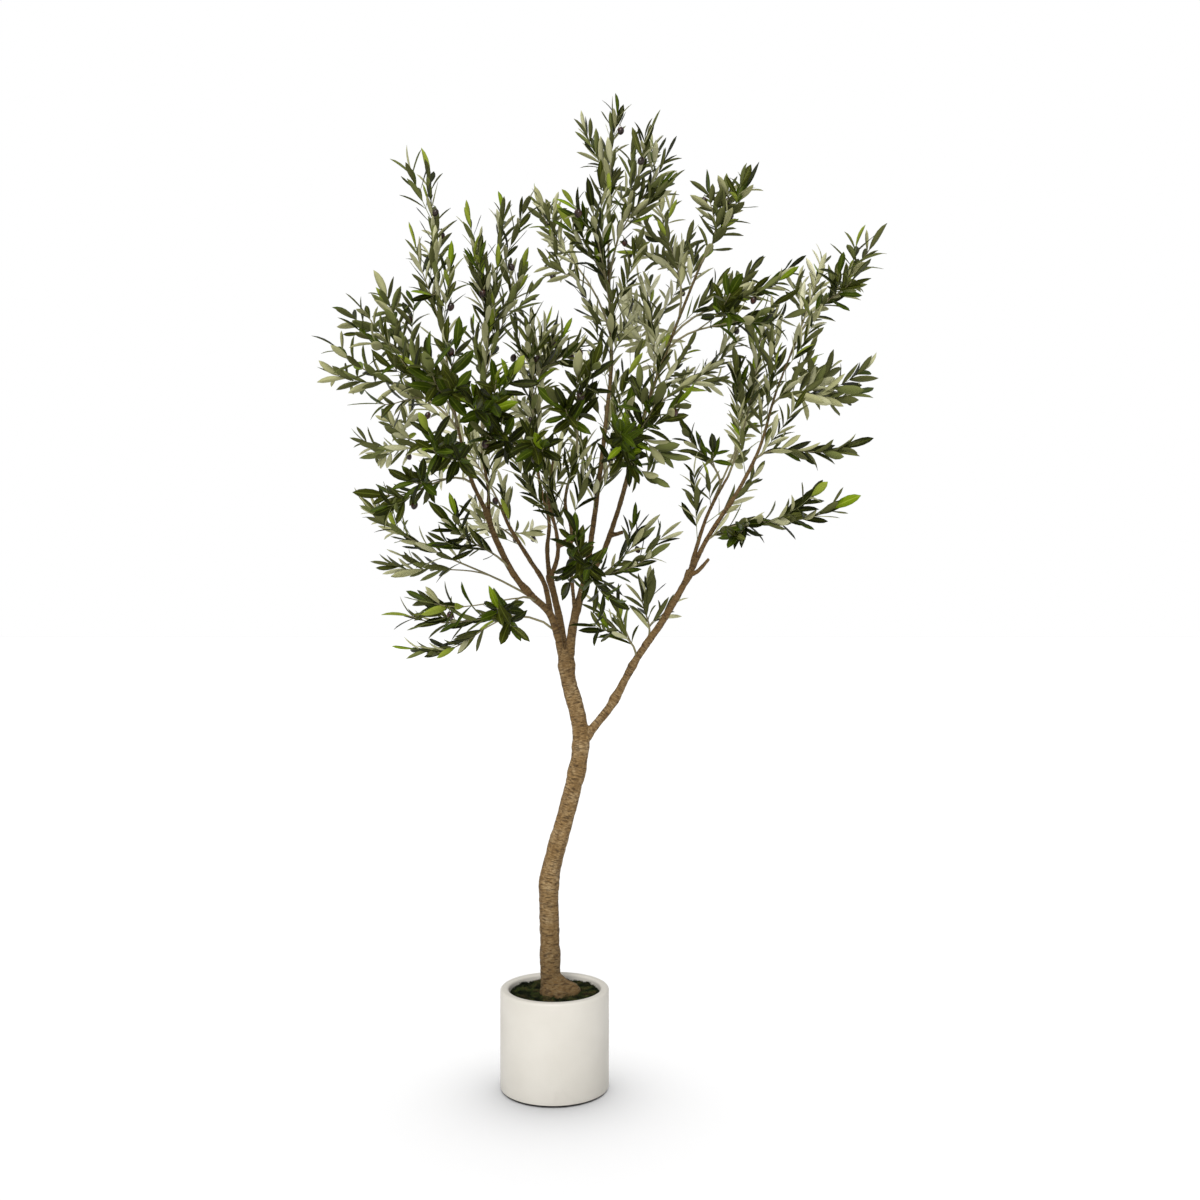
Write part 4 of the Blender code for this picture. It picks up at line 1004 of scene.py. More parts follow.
# %% Where the sprays sit
# Lengths are in metres. `share` is how far along its limb a spray is plugged in, and `leaf`
# is the length of its leaves. `room` is between twigs, as a share of the usual. `bare` is the
# share of the stem and of each arm with no leaves. `tips` is where the stem and its arms end.
Row = namedtuple("Row", "name limb share tone leaf room bare tips")
SPRAYS = [Row(name + "_spray", *facts) for name, *facts in (
    ("tall_left", "left_outer_limb", 1.00, "mid", 0.066, 1.1, 0.22,
     [(-0.26, -0.10, 1.975), (-0.29, -0.13, 1.815), (-0.265, -0.20, 1.70)]),
    ("upper_left", "left_inner_limb", 1.00, "mid", 0.066, 0.7, 0.22,
     [(-0.11, 0.02, 1.935), (-0.065, 0.06, 1.815), (-0.175, -0.04, 1.82)]),
    ("left_shoulder", "left_outer_limb", 0.93, "deep", 0.064, 0.8, 0.22,
     [(-0.41, -0.12, 1.68), (-0.37, -0.05, 1.735)]),
    ("far_left", "left_outer_limb", 0.80, "deep", 0.068, 2.0, 0.22,
     [(-0.485, -0.10, 1.61), (-0.405, -0.17, 1.465)]),
    ("front_left", "left_outer_limb", 0.83, "deep", 0.068, 0.75, 0.45,
     [(-0.22, -0.42, 1.505), (-0.305, -0.36, 1.545), (-0.165, -0.34, 1.575)]),
    ("pale_left", "left_outer_limb", 0.45, "mid", 0.062, 1.8, 0.40,
     [(-0.46, 0.10, 1.425), (-0.405, 0.18, 1.485)]),
    ("left_spur", "left_outer_limb", 0.58, "deep", 0.066, 1.0, 0.22,
     [(-0.23, -0.38, 1.35)]),
    ("left_low", "left_bough", 0.36, "mid", 0.066, 1.8, 0.45,
     [(-0.415, -0.10, 1.27), (-0.355, 0.00, 1.16)]),
    ("left_middle", "left_outer_limb", 0.30, "deep", 0.066, 1.3, 0.34,
     [(-0.385, -0.22, 1.27), (-0.305, -0.28, 1.30)]),
    ("lowest_left", "left_bough", 0.15, "mid", 0.068, 1.5, 0.36,
     [(-0.35, -0.12, 1.04), (-0.30, -0.16, 0.94)]),
    ("low_front", "left_bough", 0.37, "deep", 0.068, 1.5, 0.55,
     [(-0.12, -0.32, 1.05), (-0.285, -0.22, 1.06)]),
    ("left_inside", "left_bough", 0.62, "mid", 0.066, 1.0, 0.26,
     [(-0.23, -0.24, 1.24)]),
    ("front_upper_left", "left_inner_limb", 0.88, "deep", 0.068, 0.75, 0.48,
     [(-0.09, -0.38, 1.50), (-0.14, -0.28, 1.465)]),
    ("centre_left", "middle_left_limb", 1.00, "mid", 0.068, 0.5, 0.22,
     [(-0.05, 0.06, 1.73), (0.005, 0.14, 1.695), (0.07, 0.04, 1.645)]),
    ("front_centre", "front_limb", 1.00, "deep", 0.066, 1.0, 0.45,
     [(0.055, -0.32, 1.525), (0.025, -0.38, 1.44)]),
    ("front_sill", "middle_right_limb", 1.00, "deep", 0.066, 1.3, 0.48,
     [(-0.15, -0.30, 1.395), (-0.005, -0.38, 1.35)]),
    ("front_low", "front_limb", 0.30, "deep", 0.064, 1.6, 0.22,
     [(0.095, -0.34, 1.14), (0.025, -0.25, 1.075), (0.045, -0.28, 1.225)]),
    ("low_right", "centre_bough", 0.85, "mid", 0.068, 1.4, 0.22,
     [(0.235, -0.14, 1.175), (0.21, -0.10, 1.23)]),
    ("centre_right", "top_limb", 0.28, "deep", 0.068, 0.7, 0.22,
     [(0.22, -0.32, 1.465), (0.165, -0.20, 1.41), (0.185, -0.24, 1.315), (0.28, -0.16, 1.35)]),
    ("crown_top", "top_limb", 1.00, "mid", 0.062, 0.7, 0.22,
     [(0.125, 0.03, 2.135), (0.11, 0.10, 2.075)]),
    ("crown_right", "top_limb", 0.93, "mid", 0.062, 0.7, 0.22,
     [(0.21, -0.08, 2.065), (0.255, -0.04, 2.025)]),
    ("crown_front", "top_limb", 0.84, "mid", 0.066, 1.0, 0.22,
     [(0.075, -0.18, 1.89), (0.015, -0.14, 1.855)]),
    ("crown_back_left", "top_limb", 0.76, "inner", 0.062, 1.1, 0.45,
     [(-0.065, 0.26, 2.02), (-0.05, 0.20, 1.855)]),
    ("crown_back", "centre_right_limb", 0.84, "inner", 0.060, 0.8, 0.22,
     [(0.235, 0.26, 2.00), (0.18, 0.32, 1.925), (0.30, 0.20, 1.885)]),
    ("right_crown", "centre_right_limb", 1.00, "deep", 0.064, 0.9, 0.06,
     [(0.435, 0.02, 1.99), (0.335, 0.10, 2.00)]),
    ("upper_right", "centre_right_limb", 0.78, "mid", 0.066, 2.4, 0.22,
     [(0.55, 0.10, 1.815), (0.465, 0.16, 1.83)]),
    ("upper_right_front", "centre_right_limb", 0.74, "deep", 0.066, 2.0, 0.40,
     [(0.505, -0.10, 1.695), (0.38, -0.18, 1.705)]),
    ("inner_right", "centre_right_limb", 0.50, "inner", 0.064, 1.4, 0.22,
     [(0.435, 0.24, 1.68), (0.37, 0.16, 1.61)]),
    ("far_right", "right_outer_limb", 1.00, "deep", 0.066, 1.0, 0.10,
     [(0.70, -0.02, 1.845), (0.65, -0.10, 1.755)]),
    ("right_top", "right_outer_limb", 0.92, "pale", 0.064, 1.5, 0.30,
     [(0.605, 0.14, 1.85), (0.535, 0.10, 1.785)]),
    ("right_inner_tall", "right_inner_limb", 1.00, "mid", 0.066, 1.1, 0.32,
     [(0.465, 0.08, 1.69), (0.385, -0.02, 1.585)]),
    ("right_middle", "right_outer_limb", 0.72, "mid", 0.072, 3.0, 0.06,
     [(0.70, 0.10, 1.53), (0.635, 0.16, 1.60)]),
    ("right_arm", "right_outer_limb", 0.50, "mid", 0.070, 9.0, 0.06,
     [(0.655, -0.12, 1.39)]),
    ("lowest_right", "right_outer_limb", 0.14, "mid", 0.066, 5.0, 0.04,
     [(0.61, -0.20, 1.262), (0.35, -0.25, 1.19)]),
    ("thin_right", "right_inner_limb", 0.86, "mid", 0.066, 3.0, 0.35,
     [(0.255, -0.10, 1.445), (0.325, -0.14, 1.39)]),
    ("low_inner_left", "right_bough", 0.50, "mid", 0.068, 1.5, 0.22,
     [(0.075, -0.12, 1.075), (0.12, -0.04, 1.095)]),
    ("low_inner_right", "right_bough", 0.60, "mid", 0.068, 1.5, 0.22,
     [(0.185, 0.08, 1.105), (0.265, 0.04, 1.075)]),
    ("back_left", "left_back_bough", 1.00, "pale", 0.066, 1.6, 0.22,
     [(-0.315, 0.38, 1.60), (-0.36, 0.34, 1.425)]),
    ("back_centre", "middle_left_limb", 0.80, "pale", 0.066, 1.0, 0.22,
     [(-0.04, 0.42, 1.705), (-0.125, 0.40, 1.555)]),
    ("back_low", "left_back_bough", 0.60, "pale", 0.068, 2.2, 0.45,
     [(-0.22, 0.40, 1.31), (-0.05, 0.36, 1.235)]),
    ("back_right", "right_inner_limb", 0.60, "pale", 0.066, 2.1, 0.50,
     [(0.48, 0.36, 1.595), (0.435, 0.32, 1.425)]),
    ("back_upper_right", "centre_right_limb", 0.58, "pale", 0.064, 0.9, 0.22,
     [(0.22, 0.40, 1.855), (0.105, 0.40, 1.775)]),
)]

# %% Run the stems and arms
ROOT_BACK = 0.004
LIMB_PULL, TIP_PULL = 0.7, 0.6
ARM_FORK_FIRST, ARM_FORK_STEP = 0.30, 0.18
END_LEAF_REACH = 0.94
STEM_STEPS = 9
STEM_RADII = (0.0027, 0.0011)
ARM_RADII = (0.0018, 0.0009)


def leaf_end(start, tip, leaf):
    """What a stem stops short by, so that its last leaf reaches the tip."""
    reach = (tip - start).normalized() + Vector((0, 0, UPWARD_PULL))
    return reach.normalized() * leaf * END_LEAF_REACH


def spray_paths(limb, share, leaf, tips):
    """The stem of a spray and the arms that fork from it, as (path, radii)."""
    root, along = place_on(paths[limb][0], share - ROOT_BACK)
    tip = Vector(tips[0])
    leaving = (along * LIMB_PULL + (tip - root).normalized() * TIP_PULL).normalized()
    stem = bend_path(root, leaving, tip - leaf_end(root, tip, leaf), STEM_STEPS)
    found = [(stem, taper(stem, *STEM_RADII))]
    for order, arm_tip in enumerate(tips[1:]):
        fork, heading = place_on(stem, ARM_FORK_FIRST + ARM_FORK_STEP * order)
        arm_tip = Vector(arm_tip)
        leaving = (heading + (arm_tip - fork).normalized()).normalized()
        arm = bend_path(fork, leaving, arm_tip - leaf_end(fork, arm_tip, leaf), STEM_STEPS)
        found.append((arm, taper(arm, *ARM_RADII)))
    return found


routes = [spray_paths(row.limb, row.share, row.leaf, row.tips) for row in SPRAYS]
STEM_RODS = rods_of([
    (order, path[::3], radii[::3]) for order, route in enumerate(routes) for path, radii in route
])
metres = sum(lengths_along(path)[-1] for route in routes for path, _ in route)
print(f"{len(SPRAYS)} sprays on {metres:.1f} m of stems and arms")

# %% [markdown]
# A leaf is stamped from fabric: long and narrow, widest just past its middle, folded a
# little along its rib, with each one bent by its own wire. One grid of eighteen faces,
# narrowed row by row and given thickness, is enough for that outline. Six differently bent
# leaves are shaped once, broad for the deep green sprays and a few low on the right, and slim
# for the rest, and every leaf on the tree is a copy of one of them.

# %% Shape the leaves
LEAF_ROWS = (0.0, 0.06, 0.20, 0.40, 0.62, 0.83, 1.0)
LEAF_COLUMNS = (-1.0, -0.11, 0.11, 1.0)
LEAF_THICKNESS = 0.006
STALK_WIDTH, TIP_WIDTH, LEAST_WIDTH = 0.10, 0.04, 0.13
WIDEST, FULLNESS = 1.10, 0.62  # powers that set where a leaf is widest, and fill it out
DRAWN_IN = 0.4  # how much a bent leaf loses in length, as a share of its bend
FACES_DOWN = -0.3
SLIM = 0.74  # width of a slim leaf, as a share of a broad one's
TOP, UNDER, RIB = 0, 1, 2
# Each leaf's half width, as a share of its length, then how far it folds at its rib, bends
# back, sweeps sideways and twists.
LEAF_BENDS = [
    (0.150, 0.20, -0.05, 0.03, 0.15), (0.140, 0.32, -0.14, -0.05, -0.30),
    (0.165, 0.14, 0.06, 0.02, 0.40), (0.125, 0.26, -0.22, 0.06, -0.12),
    (0.130, 0.60, -0.09, -0.03, 0.55), (0.155, 0.18, 0.12, -0.04, -0.50),
]


def leaf_width_share(row):
    """The outline: a slim stalk, a full blade past the middle, and a pointed tip."""
    if row == 0:
        return STALK_WIDTH
    if row == len(LEAF_ROWS) - 1:
        return TIP_WIDTH
    return max(LEAST_WIDTH, math.sin(math.pi * LEAF_ROWS[row] ** WIDEST) ** FULLNESS)


def leaf_pattern(half_width, fold, bend, sweep, twist):
    """A leaf one metre long, along Z with its upper face to Y. Each placing scales it."""
    bm = bmesh.new()
    bm.loops.layers.uv.new("spots")
    bmesh.ops.create_grid(bm, x_segments=3, y_segments=len(LEAF_ROWS) - 1, size=0.5, calc_uvs=True)
    for face in bm.faces:
        face.material_index = RIB if abs(face.calc_center_median().x) < 0.1 else TOP
    for vert in bm.verts:
        row = round((vert.co.y + 0.5) * (len(LEAF_ROWS) - 1))
        column = round((vert.co.x + 0.5) * 3)
        t = LEAF_ROWS[row]
        out = LEAF_COLUMNS[column] * half_width * leaf_width_share(row)
        vert.co = Vector((out * math.cos(fold), abs(out) * math.sin(fold), t))
        vert.co.rotate(Matrix.Rotation(twist * t, 3, "Z"))
        vert.co += Vector((sweep * t * t, bend * t * t, -abs(bend) * DRAWN_IN * t * t))
    bmesh.ops.recalc_face_normals(bm, faces=bm.faces)
    bm.normal_update()
    if sum(face.normal.y for face in bm.faces) < 0:
        bmesh.ops.reverse_faces(bm, faces=bm.faces)
    bmesh.ops.solidify(bm, geom=bm.faces[:], thickness=LEAF_THICKNESS)
    bmesh.ops.recalc_face_normals(bm, faces=bm.faces)
    bm.normal_update()
    for face in bm.faces:
        if face.normal.y < FACES_DOWN:
            face.material_index = UNDER
    return pattern_of(bm)


BROAD_LEAVES = [leaf_pattern(*bends) for bends in LEAF_BENDS]
SLIM_LEAVES = [leaf_pattern(half_width * SLIM, *bends) for half_width, *bends in LEAF_BENDS]
print(f"{len(BROAD_LEAVES + SLIM_LEAVES)} leaves of {len(BROAD_LEAVES[0]['sizes'])} faces")

# %% [markdown]
# The sprays differ in tone: the front ones are deep green, the inner and rear ones a paler
# grey-green, and some growing tips are lime. Paint that fades along a spray would be lost
# when the tree is exported, so each leaf takes one tone as it is placed, from its spray's
# own mixture, and each tone is one piece.

# %% How the leaves and twigs are set out
GOLDEN_ANGLE = math.radians(137.5)
LEAF_OPENING = math.radians(35)
WIDE_OPENING = math.radians(50)  # on the deep green sprays, whose leaves stand out in stars
END_OPENING = math.radians(7)
CLOSING = 0.12  # how much less the leaves open at the end of a stem
LEAF_JITTER = math.radians(15)
LEAF_SIZES = (0.82, 1.12)
SHRINKING = 0.22  # how much smaller the leaves are at the end of a stem
PAIR_SPACING = 0.27  # of a leaf
PAIR_START, LAST_PAIR = 0.35, 0.985
PAIR_STAGGER = 0.003
END_LEAF_OVERLAP = 0.002
TWIG_OPENING = math.radians(30)
TWIG_JITTER = 0.15
TWIG_SPACING = 0.100
TWIG_LENGTH = 0.160
TWIG_SPARE = 0.022  # how far a twig may outreach its stem
TWIG_LENGTHS = (0.65, 1.15)
TWIG_PULL = 0.5  # how much a twig turns up, as a share of its stem
TWIG_END_LEAF = 0.8
TWIG_RADII = (0.0011, 0.0006)
TWIG_STEPS = 4
STEM_SIDES, TWIG_SIDES = 5, 4
TWIG_BARE_SHARE = 0.22
TWIG_SIZES = (1.0, 0.7, 0.45)  # tried in turn, until one fits
LAST_TWIG = 0.92
LEAF_TURNS = [math.radians(turn) for turn in (0, 24, -24, 48, -48)]  # tried in turn as well
LEAF_SAMPLES = ((0, 0.5), (-0.1, 0.6), (0.1, 0.6), (0, 1))  # across and along a leaf
SPACE_SHARED = 0.022  # how much nearer a leaf may come to another spray's stem than to its own
LIMB_CLEARANCE = 0.002
REACH_SPARE = 0.008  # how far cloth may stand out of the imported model
LIME_CHANCE = 0.45
STRAY_LIME_CHANCE = 0.03
CROWN_LOW, CROWN_HIGH = np.array(CAD_BOX[0]) - REACH_SPARE, np.array(CAD_BOX[1]) + REACH_SPARE
CROWN_LOW[2] = 0.925  # just below the tip of the lowest spray

# The mixture of tones on each kind of spray.
MIXTURES = {
    "deep": ("deep", "mid", "fern", "deep", "fern", "mid"),
    "mid": ("mid", "deep", "deep", "fern", "sage"),
    "pale": ("sage", "mid", "sage", "deep", "pale"),
    "inner": ("mid", "sage", "deep", "deep"),
}
# Sprays with broad leaves that aren't deep green.
BROAD_LEAVED = {"right_middle_spray", "right_arm_spray", "lowest_right_spray"}
# Sprays with fresh lime growth at their tips.
LIME_TIPPED = {
    "tall_left_spray", "upper_left_spray", "left_spur_spray", "crown_back_left_spray",
    "front_upper_left_spray", "crown_front_spray", "centre_right_spray", "left_inside_spray",
    "lowest_left_spray", "centre_left_spray",
}

# %% A spray, and how it grows


def upright_frame(place, along, about, opening):
    """A frame at `place` whose Z leans from `along` by `opening`, turned `about` round it."""
    across = along.orthogonal().normalized()
    across.rotate(Matrix.Rotation(about, 3, along))
    forward = (along * math.cos(opening) + across * math.sin(opening)).normalized()
    face = (along * math.sin(opening) - across * math.cos(opening)).normalized()
    made = Matrix((face.cross(forward), face, forward)).transposed().to_4x4()
    made.translation = place
    return made


class Spray:
    """Grows one spray inside its own space."""

    def __init__(self, order, row, leaves, twigs, nodes):
        self.row = row
        self.random = random.Random(row.name)
        self.mine = STEM_RODS["owners"] == order
        self.opening = WIDE_OPENING if row.tone == "deep" else LEAF_OPENING
        self.leaves, self.twigs, self.nodes = leaves, twigs, nodes

    def inside(self, points):
        """Whether the points are in this spray's own space and clear of the limbs."""
        points = np.array(points)
        if (points < CROWN_LOW).any() or (points > CROWN_HIGH).any():
            return False
        if self.mine.any():
            away, _ = away_from(points, STEM_RODS)
            own, others = away[:, self.mine].min(axis=1), away[:, ~self.mine].min(axis=1)
            if (others - own).min() < -SPACE_SHARED:
                return False
        return (away_from(points, WOOD_RODS)[0] - WOOD_RODS["radii"]).min() > LIMB_CLEARANCE

    def add_leaf(self, place, along, about, opening, length, at_end=False):
        """Adds a leaf where there is room, and tries a few turns before it gives up."""
        for turn in LEAF_TURNS:
            made = upright_frame(place, along, about + turn, opening) @ Matrix.Scale(length, 4)
            if self.inside([made @ Vector((x, 0, z)) for x, z in LEAF_SAMPLES]):
                break
        else:
            return
        tone = self.random.choice(MIXTURES[self.row.tone])
        chance = LIME_CHANCE if at_end and self.row.name in LIME_TIPPED else STRAY_LIME_CHANCE
        if self.random.random() < chance:
            tone = "lime"
        broad = self.row.tone == "deep" or self.row.name in BROAD_LEAVED
        patterns = BROAD_LEAVES if broad else SLIM_LEAVES
        self.leaves[tone].append((self.random.choice(patterns), made))

    def add_pairs(self, path, first):
        """Opposite leaves along a stem or twig, smaller towards its end."""
        count = max(1, round(lengths_along(path)[-1] * (1 - first) / (self.row.leaf * PAIR_SPACING)))
        turn = self.random.uniform(0, math.pi)
        for i in range(count):
            share = (i + PAIR_START) / count
            place, along = place_on(path, min(first + (1 - first) * share, LAST_PAIR))
            for side in (0, 1):
                about = turn + side * math.pi + self.random.uniform(-LEAF_JITTER, LEAF_JITTER)
                opening = self.opening + self.random.uniform(-LEAF_JITTER, LEAF_JITTER) - CLOSING * share
                length = self.row.leaf * self.random.uniform(*LEAF_SIZES) * (1 - SHRINKING * share)
                self.add_leaf(place + along * PAIR_STAGGER * (side - 0.5), along, about, opening, length)
            turn += math.pi / 2

    def add_end_leaf(self, path, length):
        """The leaf that ends a stem or a twig, nearly in line with it."""
        along = (path[-1] - path[-2]).normalized()
        about = self.random.uniform(0, math.tau)
        place = path[-1] - along * END_LEAF_OVERLAP
        self.add_leaf(place, along, about, END_OPENING, length, at_end=True)

    def add_twigs(self, path, turn, first, spacing=TWIG_SPACING):
        """Side twigs, each turned by the golden angle from the one before."""
        length = lengths_along(path)[-1]
        count = round(length * (1 - first) / (spacing * self.row.room))
        for i in range(count):
            share = first + (LAST_TWIG - first) * (i + 0.5) / count
            place, along = place_on(path, share)
            turn += GOLDEN_ANGLE
            opening = TWIG_OPENING + self.random.uniform(-TWIG_JITTER, TWIG_JITTER)
            leaving = upright_frame(place, along, turn, opening).col[2].xyz
            heading = (leaving + Vector((0, 0, UPWARD_PULL * TWIG_PULL))).normalized()
            wanted = min(TWIG_LENGTH, length * (1 - share) + TWIG_SPARE)
            wanted *= self.random.uniform(*TWIG_LENGTHS)
            for size in TWIG_SIZES:
                course = bend_path(place, leaving, place + heading * wanted * size, TWIG_STEPS)
                if self.inside(course[1:]):
                    self.add_twig(course)
                    break
        return turn

    def add_twig(self, course):
        """A twig with its leaves."""
        self.twigs.append(tube(course, taper(course, *TWIG_RADII), TWIG_SIDES))
        self.nodes += course[1:]
        self.add_pairs(course, TWIG_BARE_SHARE)
        self.add_end_leaf(course, self.row.leaf * TWIG_END_LEAF)

    def grow(self, route):
        """Twigs and leaves on the stem and on every arm."""
        turn = self.random.uniform(0, math.tau)
        for path, radii in route:
            self.nodes += path[2:]
            turn = self.add_twigs(path, turn, self.row.bare)
            self.add_pairs(path, self.row.bare)
            self.add_end_leaf(path, self.row.leaf)


# %% Grow the sprays
leaves = defaultdict(list)
twigs, twig_points = [], []
stems = [tube(path, radii, STEM_SIDES) for route in routes for path, radii in route]
for order, (row, route) in enumerate(zip(SPRAYS, routes)):
    before = sum(map(len, leaves.values()))
    Spray(order, row, leaves, twigs, twig_points).grow(route)
    print(row.name, sum(map(len, leaves.values())) - before, "leaves")
print(sum(map(len, leaves.values())), "leaves and", len(twigs), "twigs")

# %% [markdown]
# Short shoots also grow straight from the upper limbs, between the plugged sprays, and hide
# most of the wood there. They follow the same rule, with the limb for a stem.

# %% Grow shoots on the upper limbs
SHOOT_LEAF = 0.062
# Each limb that bears shoots, the height that they start at, and the room that each takes.
SHOOT_LIMBS = {
    "top_limb": (1.20, 0.042), "centre_right_limb": (1.36, 0.090), "middle_right_limb": (1.14, 0.055),
    "front_limb": (1.14, 0.044), "middle_left_limb": (1.20, 0.055), "left_inner_limb": (1.14, 0.055),
    "left_back_bough": (1.14, 0.055), "right_inner_limb": (1.14, 0.055), "right_outer_limb": (1.28, 0.045),
}

for name, (lowest, spacing) in SHOOT_LIMBS.items():
    upper = [place for place in paths[name][0] if place.z > lowest]
    row = Row(
        name + "_shoots", limb=name, share=0.0, tone="inner", leaf=SHOOT_LEAF, room=1.0, bare=0.0, tips=()
    )
    shoots = Spray(-1, row, leaves, twigs, twig_points)
    shoots.add_twigs(upper, shoots.random.uniform(0, math.tau), 0.0, spacing)
print(sum(map(len, leaves.values())), "leaves and", len(twigs), "twigs")

# %% [markdown]
# Fabric leaves are printed satin green above and matt and pale below, with veins pressed
# into both by the mould. The veins are one node group that reads the leaf's own UV map:
# slanting waves either side of the rib, with the grain of the cloth under them. Every leaf
# colour is plain, because a colour pattern on so many small faces would blur in the export.

# %% The vein group
veins, ins, outs = new_group("leaf_veins", {"Count": 9.0, "Grain": 60.0}, ["Height", "Mask"])
split = veins.nodes.new("ShaderNodeSeparateXYZ")
from_rib = math_node(veins, "PINGPONG", 0.5)
slant = math_node(veins, "MULTIPLY_ADD", 0.45)
spaced = math_node(veins, "MULTIPLY")
ridge = math_node(veins, "PINGPONG", 0.5)
cloth = veins.nodes.new("ShaderNodeTexNoise")
cloth.inputs["Detail"].default_value = 3.0
height = math_node(veins, "MULTIPLY_ADD", 0.35)
wire(
    veins,
    (ins, "Vector", split, "Vector"), (split, "X", from_rib, 0),
    (from_rib, "Value", slant, 0), (split, "Y", slant, 2),
    (slant, "Value", spaced, 0), (ins, "Count", spaced, 1),
    (spaced, "Value", ridge, 0), (ridge, "Value", height, 2),
    (ins, "Vector", cloth, "Vector"), (ins, "Grain", cloth, "Scale"),
    (cloth, "Fac", height, 0), (cloth, "Fac", outs, "Mask"),
    (height, "Value", outs, "Height"),
)

# %% Finish and join the leaves
# The upper face, the underside and the rib of each tone.
LEAF_COLOURS = {
    "deep": ((0.012, 0.016, 0.001), (0.100, 0.106, 0.034), (0.043, 0.055, 0.005)),
    "fern": ((0.040, 0.064, 0.002), (0.150, 0.168, 0.050), (0.092, 0.125, 0.010)),
    "mid": ((0.033, 0.039, 0.002), (0.390, 0.386, 0.190), (0.088, 0.104, 0.013)),
    "sage": ((0.092, 0.101, 0.021), (0.500, 0.494, 0.285), (0.190, 0.200, 0.052)),
    "pale": ((0.320, 0.325, 0.130), (0.800, 0.780, 0.530), (0.460, 0.455, 0.235)),
    "lime": ((0.165, 0.240, 0.006), (0.270, 0.325, 0.040), (0.265, 0.340, 0.030)),
}
LEAF_SHEEN = (1.0, 0.96, 0.52, 1.0)  # the printed cloth's highlight is a little yellow
# The least and the greatest roughness of each, and the depth of its veins.
LEAF_FACES = {
    "upper": (0.22, 0.40, 0.0004), "underside": (0.62, 0.85, 0.0003), "rib": (0.45, 0.65, 0.0001),
}


def leaf_finish(name, colour, smooth, rough, vein_depth):
    """Printed cloth: one plain colour, veins in relief, and a sheen that the grain breaks up."""
    finish = Finish(name, colour, rough, gloss=0.13)
    finish.sockets["Specular Tint"].default_value = LEAF_SHEEN
    place = finish.nodes.new("ShaderNodeUVMap")
    place.uv_map = "spots"
    pressed = finish.group(veins, place.outputs["UV"])
    finish.roughen(pressed["Mask"], smooth, rough)
    finish.bump(pressed["Height"], vein_depth)
    return finish


for tone, colours in LEAF_COLOURS.items():
    finishes = [
        leaf_finish(f"leaf_{tone}_{face}", colour, *looks)
        for (face, looks), colour in zip(LEAF_FACES.items(), colours)
    ]
    add_copies(f"leaves_{tone}", leaves[tone], finishes, SPRAY_NODES)

# %% [markdown]
# The stems and twigs are wire in a thin plastic sleeve, olive-brown where they leave the
# bough and yellow-green further out, so they are two pieces, each in one colour.

# %% Finish and join the stems and twigs
STEM = (0.225, 0.195, 0.095)
TWIG = (0.210, 0.225, 0.085)


def sleeve_finish(name, colour):
    """The thin plastic sleeve of a wire, with faint ribs."""
    finish = Finish(name, colour, 0.6)
    ribbing = finish.mottle(finish.place(), 350.0, 0.3, 0.7)
    finish.roughen(ribbing, 0.50, 0.75)
    finish.bump(ribbing, 0.0003)
    return finish


add_copies("stems", stems, [sleeve_finish("stem_sleeve", STEM)], SPRAY_NODES)
add_copies("twigs", twigs, [sleeve_finish("twig_sleeve", TWIG)], SPRAY_NODES)

# %% [markdown]
# ## The olives
# Forty-five ripe olives hang in the crown, one to a stalk: purple-black plastic with a
# reddish cast and a soft gloss. One fruit is shaped from a sphere that is drawn out and
# pinched at its end. Those at the front hang where they are listed, each from the nearest
# twig, and the rest hang from twigs at the back that are picked at random.

# %% Where the olives hang
OLIVE_LONG, OLIVE_WIDE = 0.0180, 0.0140
OLIVE_DROP = 0.010  # length of a stalk
STALK_RADII = (0.0006, 0.0007, 0.0009)
STALK_ELBOW = (0.7, 0.35)  # the shares of its shift and of its drop
STALK_END = 0.001  # how far a stalk reaches into its olive
OLIVE_SIDES, OLIVE_RINGS = 14, 10
OLIVE_PINCH = 0.16
OLIVE_LEAN = 0.5
OLIVE_SIZES = (0.85, 1.08)
OLIVE_SHIFT = 0.012  # how far an olive may hang to one side
NEAREST_TWIG = 0.030
NEARER = 0.06  # how much a twig near the eye is favoured, for each metre
BACK_OLIVES = 18
BACK_FROM, BACK_SHIFT = 0.06, 0.008
# Across and up, where the line from the eye to the olive passes the plane of the trunk.
OLIVES = [
    (-0.248, 1.890), (-0.226, 1.819), (-0.096, 1.753), (-0.312, 1.646), (-0.220, 1.670),
    (-0.156, 1.697), (-0.316, 1.344), (-0.299, 1.233), (-0.346, 1.284), (-0.151, 1.201),
    (-0.226, 1.011), (-0.128, 1.257), (-0.147, 1.372), (-0.044, 1.338), (-0.040, 1.130),
    (0.159, 2.036), (0.189, 1.986), (0.048, 1.894), (0.046, 1.864), (0.255, 1.445),
    (0.174, 1.156), (0.305, 1.890), (0.153, 1.798), (0.429, 1.672), (-0.222, 1.588),
    (-0.010, 1.710), (-0.034, 1.548), (-0.094, 1.558), (0.052, 1.471),
]


def seen_at(point):
    """Where the line from the eye to a point passes the plane of the trunk."""
    share = CAMERA_PLACE.y / (CAMERA_PLACE.y - point.y)
    return CAMERA_PLACE + (point - CAMERA_PLACE) * share


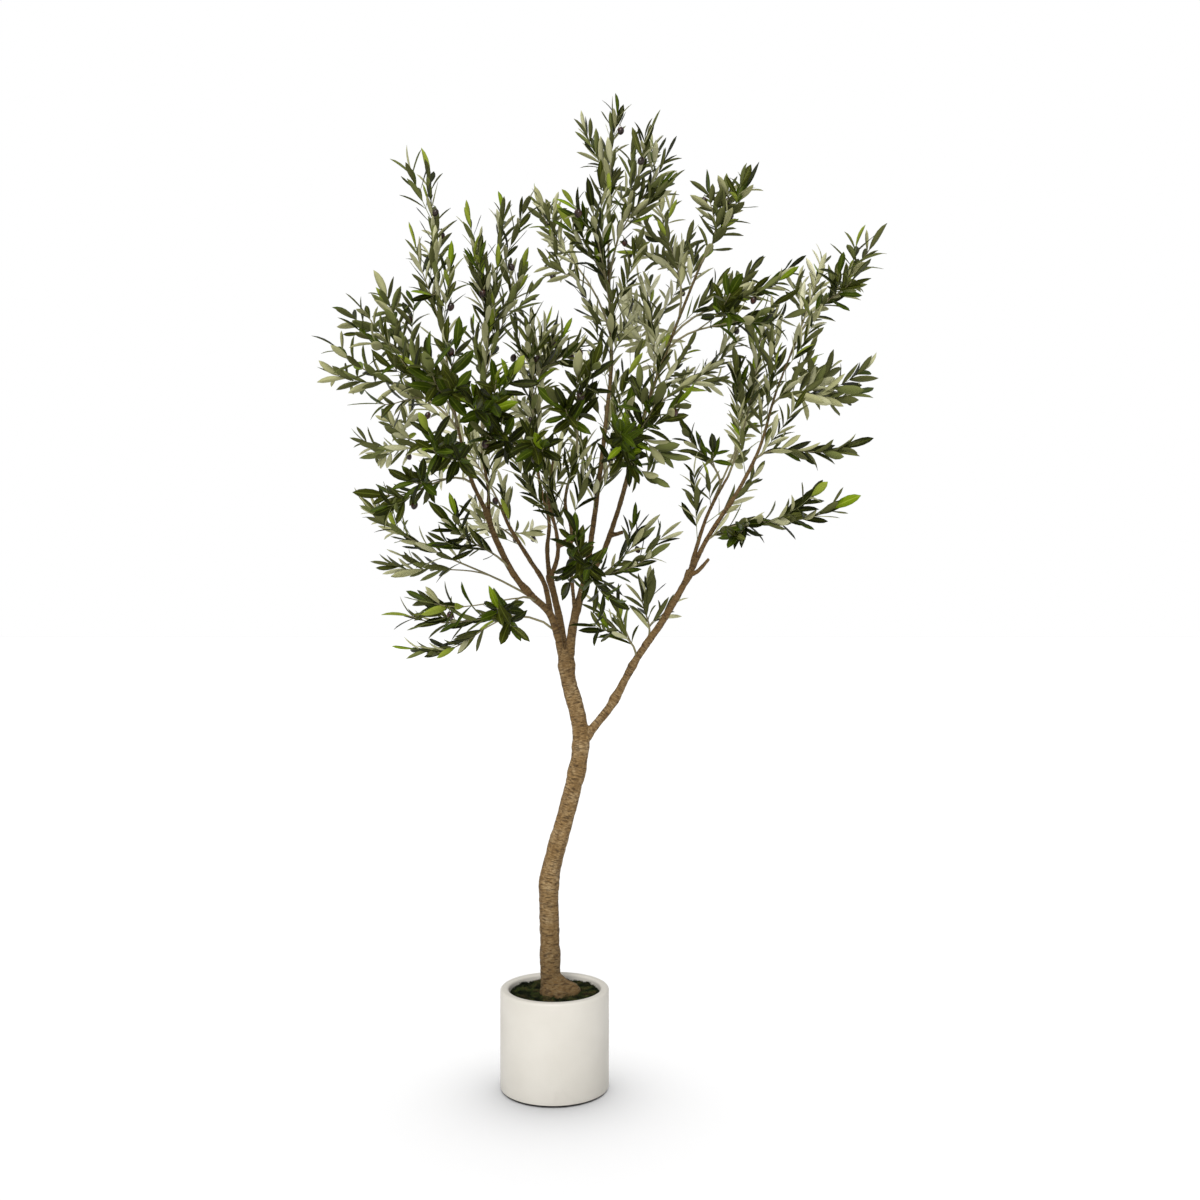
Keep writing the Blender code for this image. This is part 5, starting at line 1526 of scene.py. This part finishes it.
olive_random = random.Random("olives")
hung = []
for across, up in OLIVES:
    wanted = Vector((across, 0, up + OLIVE_DROP + OLIVE_LONG / 2))
    near = min(twig_points, key=lambda node: (seen_at(node) - wanted).length + node.y * NEARER)
    miss = wanted - seen_at(near)
    if miss.length < NEAREST_TWIG:
        shift = Vector((max(-OLIVE_SHIFT, min(OLIVE_SHIFT, miss.x)), 0, 0))
        hung.append((near, shift))
for near in olive_random.sample([node for node in twig_points if node.y > BACK_FROM], BACK_OLIVES):
    shift = Vector((olive_random.uniform(-1, 1), olive_random.uniform(-1, 1), 0)) * BACK_SHIFT
    hung.append((near, shift))
print(len(hung), "places for olives")

# %% Shape an olive
bm = bmesh.new()
bmesh.ops.create_uvsphere(bm, u_segments=OLIVE_SIDES, v_segments=OLIVE_RINGS, radius=0.5)
for vert in bm.verts:
    wide = OLIVE_WIDE * (1 - OLIVE_PINCH * max(0.0, -vert.co.z * 2) ** 2)
    vert.co = Vector((vert.co.x * wide, vert.co.y * wide, vert.co.z * OLIVE_LONG))
    vert.co.z -= OLIVE_LONG / 2
fruit = pattern_of(bm)
print(f"an olive {1000 * OLIVE_LONG:.0f} mm long and {1000 * OLIVE_WIDE:.0f} mm wide")

# %% Hang the olives
olives, stalks = [], []
for near, shift in hung:
    top = near + shift + Vector((0, 0, -OLIVE_DROP))
    lean = IDENTITY
    for axis in ("Y", "X"):
        lean = lean @ Matrix.Rotation(olive_random.uniform(-OLIVE_LEAN, OLIVE_LEAN), 4, axis)
    size = Matrix.Scale(olive_random.uniform(*OLIVE_SIZES), 4)
    olives.append((fruit, Matrix.Translation(top) @ lean @ size))
    elbow = near + shift * STALK_ELBOW[0] + Vector((0, 0, -OLIVE_DROP * STALK_ELBOW[1]))
    stalks.append(tube([near, elbow, top + Vector((0, 0, -STALK_END))], STALK_RADII, STEM_SIDES))
print(len(olives), "olives,", len(olives) - BACK_OLIVES, "of them at the front")

# %% Finish the olives
OLIVE = (0.018, 0.007, 0.004)
OLIVE_RED = (0.075, 0.020, 0.010)

olive_skin = Finish("olive_skin", OLIVE, 0.3)
place = olive_skin.place()
bloom = olive_skin.mottle(place, 420.0, 0.30, 0.75)
olive_skin.paint(OLIVE, (olive_skin.mottle(place, 75.0, 0.48, 0.70), OLIVE_RED))
olive_skin.roughen(bloom, 0.22, 0.42)
olive_skin.bump(bloom, 0.0001)
add_copies("olives", olives, [olive_skin], SPRAY_NODES)
add_copies("olive_stalks", stalks, [sleeve_finish("stalk_sleeve", TWIG)], SPRAY_NODES)
